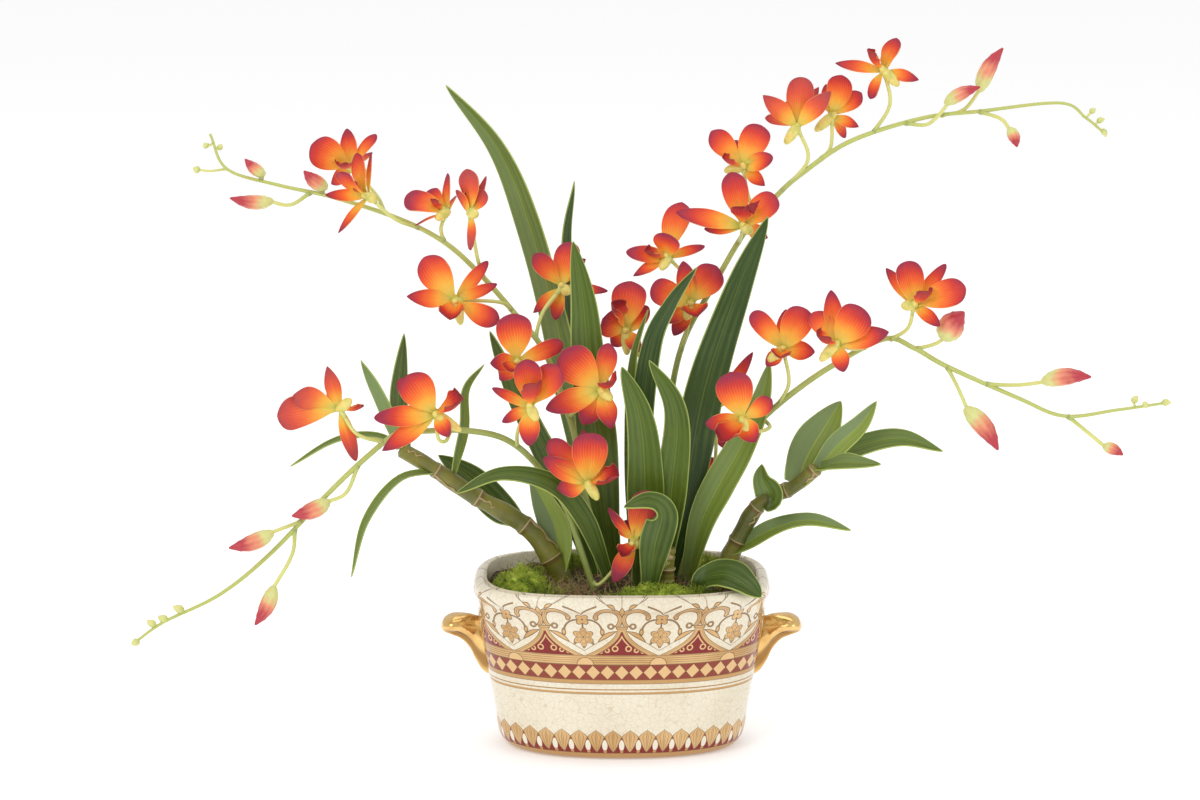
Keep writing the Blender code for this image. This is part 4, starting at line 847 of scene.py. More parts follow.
# Each leaf: its route, its width in mm, where its upper side looks (at its foot and its tip, if that
# changes), and its tint, from yellow-green at 0 to blue-green at 1, with how pale it is. A route starts
# with the pixel column and the depth of the foot, then has a pixel and a depth for each point.
STRAP_LEAVES = {
    "leaf_1": (
        ((603, 42), (588, 480, 44), (561, 340, 48), (530, 225, 50), (498, 148, 50), (446, 85, 48)),
        27, (-35, 8), (0.4, 0.28),
    ),
    "leaf_2": (((606, 52), (585, 420, 58), (566, 260, 66), (574, 181, 68)), 15, (30, 5), (0.8, 0.05)),
    "leaf_3": (
        ((612, 18), (600, 470, 2), (588, 360, -4), (583, 300, -5), (573, 241, -4)),
        30, (8, 4), (0.3, 0.04),
    ),
    "leaf_4": (
        ((668, 18), (684, 500, 8), (704, 390, 6), (737, 290, 2), (768, 216, -8)),
        31, (12, 8), (0.66, 0.0),
    ),
    "leaf_5": (
        ((645, 26), (640, 450, 10), (651, 350, 2), (670, 305, 0), (697, 267, 2)),
        19, (-14, 6), (0.72, 0.0),
    ),
    "leaf_6": (((632, 34), (630, 440, 20), (633, 360, 11), (648, 309, 10)), 9, (-20, 5), (0.28, 0.14)),
    "leaf_7": (((641, -4), (645, 490, -13), (640, 420, -28), (622, 367, -36)), 28, (10, 6), (0.34, 0.06)),
    "leaf_8": (((662, -2), (673, 480, -12), (676, 410, -22), (649, 360, -30)), 24, (-10, 8), (0.34, 0.05)),
    "leaf_9": (
        ((688, 6), (702, 522, 0), (720, 484, -3), (741, 447, -3), (760, 405, 0), (770, 362, 6)),
        25, (-20, 6), (0.14, 0.22),
    ),
    "leaf_10": (
        ((649, -26), (655, 545, -32), (662, 515, -36), (650, 502, -46), (624, 507, -57)),
        25, ((5, 10), (60, 70)), (0.5, 0.12),
    ),
    "leaf_11": (
        ((610, -6), (585, 520, -21), (552, 484, -31), (502, 474, -32), (456, 493, -28)),
        17, (-5, 45), (0.4, 0.08),
    ),
    "leaf_12": (((592, 28), (560, 480, 36), (520, 400, 42), (490, 331, 44)), 22, (-25, 5), (0.46, 0.06)),
    "leaf_rim": (
        ((700, -30), (707, 578, -35), (726, 575, -43), (744, 584, -52), (761, 597, -60)),
        30, (20, 50), (0.46, 0.03),
    ),
}
GREEN_WARM = (0.13, 0.19, 0.012)
GREEN_DEEP = (0.030, 0.064, 0.006)
GREEN_COOL = (0.016, 0.050, 0.020)
GREEN_PALE = (0.30, 0.39, 0.075)
SKY_SHEEN_GREY = (0.19, 0.26, 0.11)
GREEN_UNDER = (0.21, 0.31, 0.12)
GREEN_MARGIN = (0.42, 0.50, 0.12)


def on_ray(px, py, depth):
    """The point on this pixel's line of sight that lies this far behind the pot's middle."""
    ray = RIGHT * (px - PIXEL_CENTRE[0]) + UP * (PIXEL_CENTRE[1] - py)
    ray += FORWARD * VIEW_DISTANCE / METRES_PER_PIXEL
    return EYE + ray * ((depth * MM - EYE.y) / ray.y)


def seen(px, py, depth):
    """The point of the plant at this pixel. From LEAN_START pixels off the pot, what is at the sides comes
    forward and what is above lies back, by LEAN mm at LEAN_FULL pixels."""
    x, y = px - LEAN_CENTRE[0], py - LEAN_CENTRE[1]
    far = math.hypot(x, y)
    lean = 0.0
    if far > LEAN_START:
        lean = LEAN * (far - LEAN_START) / (LEAN_FULL - LEAN_START) * (y * y - x * x) / far**2
    return on_ray(px, py, depth + lean)


def rooted(px, depth):
    """The point just above the soil, at this depth, in this pixel column."""
    top = Vector((0, depth, SOIL_TOP + FOOT_RISE)) * MM
    away = (top - EYE).dot(FORWARD)
    top.x = VIEW_TARGET.x + (px - PIXEL_CENTRE[0]) * away * METRES_PER_PIXEL / VIEW_DISTANCE
    return top


def route_points(route):
    """The points of a route that starts at a foot in the soil."""
    return [rooted(*route[0])] + [seen(*point) for point in route[1:]]


def buried_end(foot):
    """The hidden end in the soil below this foot."""
    return Vector((foot.x, foot.y, (SOIL_TOP - BURIED) * MM))


def direction(turn, tilt):
    """A unit direction: turn is from the front towards the right, tilt is upwards, in degrees."""
    turn, tilt = math.radians(turn), math.radians(tilt)
    return Vector((math.sin(turn) * math.cos(tilt), -math.cos(turn) * math.cos(tilt), math.sin(tilt)))


def lengths_along(curve):
    """How far along the curve each of its points lies."""
    total = [0.0]
    for here, there in zip(curve, curve[1:]):
        total.append(total[-1] + (there - here).length)
    return total


def points_at(curve, shares):
    """The curve's points at these rising shares of its length."""
    run, found, i = lengths_along(curve), [], 1
    for share in shares:
        while i < len(run) - 1 and run[i] < share * run[-1]:
            i += 1
        part = (share * run[-1] - run[i - 1]) / max(run[i] - run[i - 1], 1e-9)
        found.append(curve[i - 1].lerp(curve[i], min(max(part, 0.0), 1.0)))
    return found


def looks_along(look, shares):
    """Where the upper side looks at each share of the length: one direction, or a first and a last."""
    if not isinstance(look[0], tuple):
        return [direction(*look)] * len(shares)
    first, last = direction(*look[0]), direction(*look[1])
    return [first.lerp(last, u**2).normalized() for u in shares]


def blade(line, shares, halves, looks, rise, columns, thick, marks=None):
    """A thin leaf or petal along the line, closed all round. rise gives how far a point stands above the
    line, against the half width. Marks: mm from the blade's edge, 1 on the under side, and more."""
    rows, edges, ups = [], [], []
    for i, u in enumerate(shares):
        ahead = (line[min(i + 1, len(line) - 1)] - line[max(i - 1, 0)]).normalized()
        side = ahead.cross(looks[i]).normalized()
        up = side.cross(ahead)
        spread = [2 * j / columns - 1 for j in range(columns + 1)]
        rows.append([line[i] + side * (s * halves[i]) + up * (rise(u, s) * halves[i]) for s in spread])
        edges.append([(1 - abs(s)) * halves[i] / MM for s in spread])
        ups.append(up)
    tables = {name: [[value] * (columns + 1)] * len(rows) for name, value in (marks or {}).items()}
    numbers = [[float(i)] * (columns + 1) for i in range(len(rows))]
    bm = sheet(rows, shares, {"edge": edges, "row": numbers, **tables})
    bmesh.ops.solidify(bm, geom=bm.faces[:], thickness=thick * MM)
    bmesh.ops.recalc_face_normals(bm, faces=bm.faces)
    bm.normal_update()
    under, row = bm.verts.layers.float.new("under"), bm.verts.layers.float["row"]
    for vert in bm.verts:
        vert[under] = float(vert.normal.dot(ups[round(vert[row])]) < 0)
    return bm


def eased(share):
    """From 0 to 1 with a slow start and a slow end."""
    return share * share * (3 - 2 * share)


def strap_width(u):
    """A strap leaf's width at this share of its length, against its widest."""
    return (0.5 + 0.5 * eased(min(u / LEAF_SHOULDER, 1.0))) * max(1 - u**3.4, 0.0) ** 0.7


def tip_shares(count, ease=1.5):
    """Shares of a length that lie closer together towards its tip."""
    return [1 - (1 - i / count) ** ease for i in range(count + 1)]


def leafy(name, shine):
    """Leaf skin: veins along it, a pale midrib and margin, and its own tint of green, with a painted
    reflection that greys the left half and a painted highlight along the midrib.
    """
    finish, shader, place = new_finish(
        name, Coat_Weight=shine, Coat_Roughness=0.22, Specular_IOR_Level=0.22, Subsurface_Weight=0.08,
        Subsurface_Scale=0.002,
    )
    across = place.across()
    middle = abs(across - 0.5) * 2
    tint, pale, edge, under = (place.mark(word) for word in ("tint", "pale", "edge", "under"))
    cloud = place.noise(38.0, 3.0)
    streak = (across * LEAF_VEINS + cloud * 5.0).sine() * 0.5 + 0.5
    bands = (across * LEAF_BANDS + cloud * 4.0).sine() * 0.5 + 0.5
    midrib, sky_sheen_half = 1 - middle.step(0.0, 0.07), 1 - across.step(0.47, 0.5)
    green = (tint + (cloud - 0.5) * 0.5).ramp((0.0, GREEN_WARM), (0.48, GREEN_DEEP), (0.95, GREEN_COOL))
    green = green.mix(GREEN_PALE, (pale + (cloud - 0.5) * 0.4 + (bands - 0.5) * 0.16).clipped())
    # Painted reflection: the left half of each leaf is greyed as if it caught the sky, more strongly on
    # paler leaves.
    green = green.mix(SKY_SHEEN_GREY, sky_sheen_half * (pale * 1.7).clipped())
    # The midrib is pale in its own colour, and on paler leaves a painted highlight makes it brighter still.
    green = green.mix(GREEN_PALE, streak * 0.08 + midrib * (pale * 1.6 + 0.22).clipped())
    green = green.mix(GREEN_UNDER, under * 0.7)
    green = green.mix(GREEN_MARGIN, (1 - edge.step(0.25, MARGIN)) * 0.75)
    blotch = place.noise(260.0, 2.0)
    feed(shader, Base_Color=green, Roughness=0.36 + under * 0.2 + blotch * 0.12)
    feed(shader, Normal=(streak * 0.5 + middle.step(0.0, 0.06) * 0.8 + blotch * 0.3).bumped(0.12 * MM))
    return finish


def strap_leaf(name):
    """One strap leaf: a long blade that goes down into the soil."""
    route, width, look, (tint, pale) = STRAP_LEAVES[name]
    curve = smooth_through(route_points(route), LEAF_BENDS)
    shares = tip_shares(LEAF_ROWS)
    line = points_at(curve, shares)
    seed = sum(map(ord, name)) * 0.37

    def rise(u, s):
        ripple = LEAF_RIPPLE * s * s * math.sin(u * LEAF_RIPPLES + seed + 2 * s)
        return LEAF_KEEL * (abs(s) ** 1.25) + ripple + LEAF_TILT * math.sin(u * LEAF_TILTS + seed) * s

    halves = [width / 2 * strap_width(u) * MM for u in shares]
    looks = looks_along(look, shares)
    line, shares = [buried_end(curve[0])] + line, [0.0] + shares
    halves, looks = halves[:1] + halves, looks[:1] + looks
    return blade(line, shares, halves, looks, rise, LEAF_COLUMNS, LEAF_THICK, {"tint": tint, "pale": pale})


leaf_finish = leafy("leaf_skin", 0.1)
for name in STRAP_LEAVES:
    finish_piece(name + "_blade", [(strap_leaf(name), leaf_finish)], "leaf", name)

# The canes: jointed olive stems as thick as a finger, with a brown collar and a thin pale line at each
# joint and narrow dry strips of their old sheath. Short leaves clasp them, and an old cane is cut short.
CANE_BENDS = 12
CANE_ROUND = 28
CANE_STEPS = 90
RING_SWELL, RING_SPREAD = 0.13, 0.014
CUT_END = 0.55
LINE_HALF_WIDTH = 0.45
COLLAR_PLACE = -1.3
SHEATH_STEPS, SHEATH_COLUMNS = 48, 12
SHEATH_THICK = 0.25
CANE_LEAF_BENDS = 8
CANE_LEAF_ROWS, CANE_LEAF_COLUMNS = 30, 12
CLASP, CLASP_END = 0.55, 0.22
# Each cane: its route, its radius in mm at its foot and its top, and where its joints are. A strip of
# sheath: where it starts and ends along the cane, how far it is turned from the front and how wide it is,
# both in radians. A leaf: its points, width, look, and tint with paleness, as for the strap leaves.
CANES = {
    "cane_left": {
        "route": ((562, 12), (529, 529, 14), (473, 495, 16), (431, 467, 18), (400, 449, 20)),
        "radii": (7.6, 5.4), "joints": (0.1, 0.3, 0.56, 0.8),
        "sheaths": (
            (0.12, 0.3, 1.2, 0.5), (0.47, 0.56, 0.3, 0.2), (0.66, 0.8, -0.5, 0.25), (0.89, 0.97, 0.7, 0.2),
        ),
        "leaves": (
            (((402, 448, 20), (385, 405, 24), (361, 360, 28)), 13, (-40, 10), (0.3, 0.35)),
            (((405, 450, 20), (398, 400, 34), (404, 333, 42)), 14, (25, 8), (0.78, 0.15)),
            (((452, 474, 19), (463, 430, 24), (465, 390, 30), (484, 364, 34)), 9, (40, 10), (0.2, 0.45)),
            (((441, 471, 18), (400, 478, 6), (366, 520, -6), (351, 577, -12)), 7, (-30, 40), (0.25, 0.4)),
            (((404, 447, 20), (375, 435, 30), (335, 440, 38), (290, 466, 42)), 6, (-10, 60), (0.3, 0.3)),
            (((520, 524, 16), (500, 508, 34), (470, 478, 40), (438, 455, 42)), 24, (-10, 30), (0.5, 0.1)),
            (((560, 572, 13), (556, 530, 19), (543, 500, 21), (530, 478, 22)), 24, (-15, 5), (0.05, 0.95)),
        ),
    },
    "cane_stub": {
        "route": ((666, -16), (667, 562, -17), (668, 547, -17)), "radii": (6.0, 5.2), "joints": (0.45,),
        "sheaths": ((0.5, 1.0, -0.5, 2.4), (0.55, 0.97, 2.6, 2.4)),
        "leaves": ((((663, 566, -22), (662, 556, -23), (664, 543, -21)), 8, (-15, 5), (0.1, 0.9)),),
    },
    "cane_right": {
        "route": ((722, 20), (757, 507, 16), (795, 486, 12), (818, 467, 10)), "radii": (7.0, 4.8),
        "joints": (0.24, 0.5, 0.74, 0.97),
        "sheaths": ((0.38, 0.5, 0.4, 0.25), (0.62, 0.74, -0.9, 0.3), (0.88, 0.97, 0.3, 0.35)),
        "leaves": (
            (((733, 552, 18), (770, 530, 6), (810, 520, -2), (851, 530, -6)), 17, (30, 50), (0.18, 0.5)),
            (((768, 500, 15), (770, 494, -6), (762, 478, -12), (762, 464, -10)), 22, (-20, 20), (0.4, 0.15)),
            (((797, 484, 12), (808, 455, 20), (826, 425, 28), (841, 401, 34)), 30, (-20, 10), (0.15, 0.5)),
            (((818, 468, 10), (838, 445, 14), (860, 425, 16), (877, 401, 18)), 17, (-20, 20), (0.12, 0.6)),
            (((818, 468, 10), (855, 448, 24), (900, 438, 32), (943, 451, 36)), 17, (10, 45), (0.35, 0.2)),
            (((818, 468, 10), (840, 462, -6), (862, 463, -12), (881, 464, -14)), 15, (0, 50), (0.3, 0.25)),
        ),
    },
}
CANE_OLIVE = (0.225, 0.205, 0.020)
CANE_SHADOW = (0.105, 0.115, 0.013)
CANE_COLLAR = (0.17, 0.105, 0.028)
CANE_LINE = (0.50, 0.40, 0.19)
SHEATH_STRAW = (0.56, 0.42, 0.22)


def rod(points, radii, sides, marks=None):
    """A round rod through the points, with a radius in mm at each, closed at both ends."""
    across, rows = None, []
    for i, point in enumerate(points):
        ahead = (points[min(i + 1, len(points) - 1)] - points[max(i - 1, 0)]).normalized()
        across = ahead.orthogonal() if across is None else across - ahead * across.dot(ahead)
        across.normalize()
        other = ahead.cross(across)
        turns = [math.tau * (k % sides) / sides for k in range(sides + 1)]
        rows.append([point + (across * math.cos(t) + other * math.sin(t)) * (radii[i] * MM) for t in turns])
    rows = [[points[0]] * (sides + 1)] + rows + [[points[-1]] * (sides + 1)]
    run = lengths_along(points)
    shares = [0.0] + [distance / run[-1] for distance in run] + [1.0]
    tables = {name: [[value] * (sides + 1)] * len(rows) for name, value in (marks or {}).items()}
    return sheet(rows, shares, tables)


def cane_curve(name):
    return smooth_through(route_points(CANES[name]["route"]), CANE_BENDS)


def ring_at(share, joints):
    """1 at a joint of the cane, falling to 0 a little way from it."""
    return max(math.exp(-(((share - joint) / RING_SPREAD) ** 2)) for joint in joints)


def cane_radius(name, u):
    """The cane's radius in mm at this share of its length, with its waists and its swollen joints."""
    low, high = CANES[name]["radii"]
    waist = 1 - 0.05 * math.cos(u * 23) - 0.03 * math.sin(u * 41)
    return (low + (high - low) * u) * (waist + RING_SWELL * ring_at(u, CANES[name]["joints"]))


def cane_rod(name):
    """The cane. At each point it holds the distance in mm along the cane to the nearest joint."""
    joints, curve = CANES[name]["joints"], cane_curve(name)
    shares = [i / CANE_STEPS for i in range(CANE_STEPS + 1)]
    radii = [CANES[name]["radii"][0]] + [cane_radius(name, u) for u in shares]
    radii[-1] *= CUT_END
    bm = rod([buried_end(curve[0])] + points_at(curve, shares), radii, CANE_ROUND)
    layer = bm.verts.layers.float.new("joint")
    places = [points_at(curve, (joint - 0.01, joint, min(joint + 0.01, 1.0))) for joint in joints]
    for vert in bm.verts:
        before, place, after = min(places, key=lambda three: (three[1] - vert.co).length)
        vert[layer] = (vert.co - place).dot((after - before).normalized()) / MM
    return bm


def sheath(name, start, end, turned, wide):
    """A dry strip of the old sheath that still lies along the cane, its edges frayed."""
    shares = [i / SHEATH_STEPS for i in range(SHEATH_STEPS + 1)]
    line = points_at(cane_curve(name), [start + (end - start) * share for share in shares])
    rows = []
    for i, share in enumerate(shares):
        ahead = (line[min(i + 1, SHEATH_STEPS)] - line[max(i - 1, 0)]).normalized()
        side = ahead.cross(Vector((0, -1, 0))).normalized()
        front = side.cross(ahead)
        frayed = 0.75 + 0.7 * noise.noise(Vector((share * 7, turned * 9, start * 20)))
        spread = wide * frayed * (1 - (1 - share) ** 3) ** 0.5 + 0.04
        middle = turned + 0.35 * noise.noise(Vector((share * 4, start * 30, 5.0)))
        radius = cane_radius(name, start + (end - start) * share) * MM
        rows.append([])
        for k in range(SHEATH_COLUMNS + 1):
            t = middle + (k / SHEATH_COLUMNS - 0.5) * spread
            lifted = 0.04 * noise.noise(Vector((t * 2.5, share * 6, turned)))
            loose = 1.04 + 0.06 * (1 - share) ** 2 + lifted
            rows[-1].append(line[i] + (side * math.sin(t) + front * math.cos(t)) * (radius * loose))
    bm = sheet(rows)
    bmesh.ops.solidify(bm, geom=bm.faces[:], thickness=SHEATH_THICK * MM)
    bmesh.ops.recalc_face_normals(bm, faces=bm.faces)
    return bm


def oval_leaf_width(u):
    """A cane leaf's width at this share of its length, against its widest."""
    return max(math.sin(math.pi * min(u * 0.86 + 0.14, 1.0)), 0.0) ** 0.75


def cane_leaf(name, k):
    """One leaf of a cane, folded at its foot to clasp it."""
    points, width, look, (tint, pale) = CANES[name]["leaves"][k]
    shares = tip_shares(CANE_LEAF_ROWS)
    line = points_at(smooth_through([seen(*point) for point in points], CANE_LEAF_BENDS), shares)
    halves = [width / 2 * MM * oval_leaf_width(u) for u in shares]

    def rise(u, s):
        clasp = CLASP * max(1 - u / CLASP_END, 0) ** 2
        return (LEAF_KEEL + clasp) * abs(s) ** 1.3 + 0.07 * s * s * math.sin(u * 11 + k * 2 + 2 * s)

    looks, marks = looks_along(look, shares), {"tint": tint, "pale": pale}
    return blade(line, shares, halves, looks, rise, CANE_LEAF_COLUMNS, LEAF_THICK, marks)


def cane_skin():
    """Olive skin with fine lengthwise ribs and small specks, browner at the joints."""
    finish, shader, place = new_finish("cane_skin", Coat_Weight=0.25, Coat_Roughness=0.25)
    cloud = place.noise(60.0, 3.0)
    ribs = (place.across() * math.tau * 26).sine() * 0.5 + 0.5
    specks = place.noise(420.0, 2.0).step(0.66, 0.72)
    joint = place.mark("joint")
    line, collar = joint.line(LINE_HALF_WIDTH), 1 - abs(joint - COLLAR_PLACE).step(1.2, 2.6)
    green = cloud.ramp((0.3, CANE_SHADOW), (0.62, CANE_OLIVE))
    green = green.mix(CANE_SHADOW, ribs * 0.22).mix(CANE_COLLAR, specks * 0.5)
    green = green.mix(CANE_COLLAR, collar * 0.75).mix(CANE_LINE, line * 0.9)
    feed(shader, Base_Color=green, Roughness=0.38 + cloud * 0.15)
    feed(shader, Normal=(ribs * 0.6 + cloud).bumped(0.16 * MM))
    return finish


def papery():
    """Dry straw-coloured sheath with fibres along it."""
    finish, shader, place = new_finish("papery_sheath", Roughness=0.75)
    fibre = place.noise(220.0, 3.0) * 0.5 + (place.across() * 90.0).sine() * 0.15 + 0.25
    straw = fibre.ramp((0.2, CANE_COLLAR), (0.5, SHEATH_STRAW))
    feed(shader, Base_Color=straw, Normal=fibre.bumped(0.2 * MM))
    return finish


cane_finish, sheath_finish = cane_skin(), papery()
for name, cane in CANES.items():
    parts = [(cane_rod(name), cane_finish)]
    parts += [(sheath(name, *strip), sheath_finish) for strip in cane["sheaths"]]
    parts += [(cane_leaf(name, k), leaf_finish) for k in range(len(cane["leaves"]))]
    finish_piece(name + "_grown", parts, "cane", name)

# The flower stems: four smooth arching stems, each branching into thin stalks with a bloom or a closed
# bud at the end. A small bract clasps the stem where a stalk leaves it.
STEM_RADIUS = 2.35
STALK_RADIUS = 1.35
SMALL_STALK_RADIUS = 0.85
STALK_FLARE, FLARE_FADE = 0.55, 14
STEM_BENDS, FINE_BENDS, STALK_BENDS = 2, 12, 6
NEAR_STEPS = 8
STALK_STEPS = 24
STEM_ROUND, STALK_ROUND, BUD_ROUND, BRACT_ROUND = 16, 10, 20, 12
BUD_ROWS = 18
BUD_BEND = 0.06
BUD_BACK = 1
BUD_SUNK = 0.12
SMALL_BUD = 7
OVARY = 8
# How wide a bud is against its widest, at these shares of its length.
BUD_SHAPE = (
    (0, 0.30), (0.08, 0.62), (0.2, 0.9), (0.36, 1.0), (0.55, 0.95), (0.75, 0.68), (0.9, 0.36), (1, 0.1),
)
# How far along a stalk each ring of its bract is, and the ring's radius, in mm.
BRACT = ((0.0, 1.9), (1.6, 2.0), (3.2, 1.7), (4.6, 1.3), (5.6, 0.8))
# Each spray: its stem's route, its buds and the blooms that it carries. A bud: the pixels of its stalk,
# its base and its tip, each a pixel and a depth, and its width in mm.
SPRAYS = {
    "spray_upper_left": {
        "stem": (
            (604, 6), (597, 540, -5), (584, 490, -12), (575, 437, -12), (560, 391, -6), (543, 349, 4),
            (516, 315, 16), (481, 275, 18), (444, 242, 20), (397, 218, 24), (332, 197, 30), (278, 185, 36),
            (227, 169, 42), (210, 134, 44),
        ),
        "buds": (
            ((), (265, 175, 38), (245, 159, 36), 9),
            (((309, 194.6), (290, 205)), (273, 201, 32), (230, 198, 26), 10.5),
            ((), (327, 188, 32), (304, 171, 24), 11), (((212, 150),), (219, 150, 44), (222, 144, 44), 4.5),
            (((226.6, 169.6), (210, 171)), (200, 170, 44), (193, 168, 44), 5.5),
            ((), (208, 147, 44), (204, 143, 44), 5),
        ),
        "blooms": (
            "bloom_1", "bloom_2", "bloom_3", "bloom_4", "bloom_5", "bloom_6", "bloom_8", "bloom_9",
            "bloom_10",
        ),
    },
    "spray_upper_right": {
        "stem": (
            (676, 34), (672, 470, 34), (671, 400, 34), (684, 340, 34), (712, 288, 34), (745, 232, 34),
            (776.5, 196, 36), (802, 173.5, 38), (851, 141, 42), (923, 118, 50), (979, 111.4, 54),
            (1060, 103, 60), (1086, 118, 60), (1103, 132, 60),
        ),
        "buds": (
            (((940, 115), (964, 109.5)), (979, 92, 52), (1003, 48, 48), 12),
            (((903, 125), (925, 125), (937, 117)), (945, 104, 44), (980, 87, 38), 10),
            (((981, 114), (1001, 119)), (1009, 128, 50), (1017, 147, 48), 9),
            ((), (1090, 113, 60), (1096, 109, 60), 4.5), ((), (1097, 122, 60), (1105, 119, 60), 4.5),
            ((), (1102, 129, 60), (1106, 137, 60), 4.5),
        ),
        "blooms": (
            "bloom_11", "bloom_12", "bloom_13", "bloom_14", "bloom_15", "bloom_16", "bloom_17", "bloom_18",
        ),
    },
    "spray_right": {
        "stem": (
            (685, 24), (704, 501, 14), (720, 474, 10), (737, 448, 9), (757, 424, 9), (790, 395, 6),
            (831, 366.5, 0), (884, 339, -4), (914, 348, -8), (947, 366.5, -14), (1018, 398, -26),
            (1064, 416, -34), (1117, 410, -40), (1165, 403, -46),
        ),
        "buds": (
            (((916, 348), (935, 344)), (944, 340, -8), (964, 312, -14), 19),
            (((989, 381), (1018, 385)), (1042, 382, -36), (1091, 377, -44), 12.5),
            (((948, 367.5), (958, 388)), (965, 408, -24), (998, 450, -32), 14),
            (((1066, 416), (1086, 431)), (1103, 446, -36), (1123, 455, -38), 8.5),
            ((), (1133, 403, -43), (1138, 396, -43), 5), ((), (1144, 406, -44), (1148, 404, -46), 5),
            ((), (1162, 403, -46), (1171, 403, -47), 5),
        ),
        "blooms": ("bloom_19", "bloom_20", "bloom_21", "bloom_22", "bloom_23", "bloom_24"),
    },
    "spray_lower_left": {
        "stem": (
            (593, -20), (580, 548, -18), (566, 508, -14), (536, 464, -14), (505, 439, -18),
            (466, 430.5, -26), (425, 431, -24), (398, 433, -24), (365, 458.6, -26), (326.6, 495, -30),
            (269, 555, -36), (219, 595, -42), (164, 622, -50), (134, 643, -54),
        ),
        "buds": (
            (((359, 465.5), (346, 493)), (329, 501, -36), (292, 516, -42), 12.5),
            (((301, 523),), (273, 532, -42), (229, 548, -48), 12),
            (((297, 532), (292, 555)), (274, 586, -44), (255, 625, -50), 11.5),
            ((), (184, 610, -48), (173, 606, -49), 6), ((), (168, 620, -50), (158, 616, -50), 6),
            ((), (156, 625, -51), (147, 620, -52), 5.5), ((), (139, 640, -54), (131, 644, -55), 5.5),
        ),
        "blooms": ("bloom_7", "bloom_25", "bloom_26", "bloom_27"),
    },
}
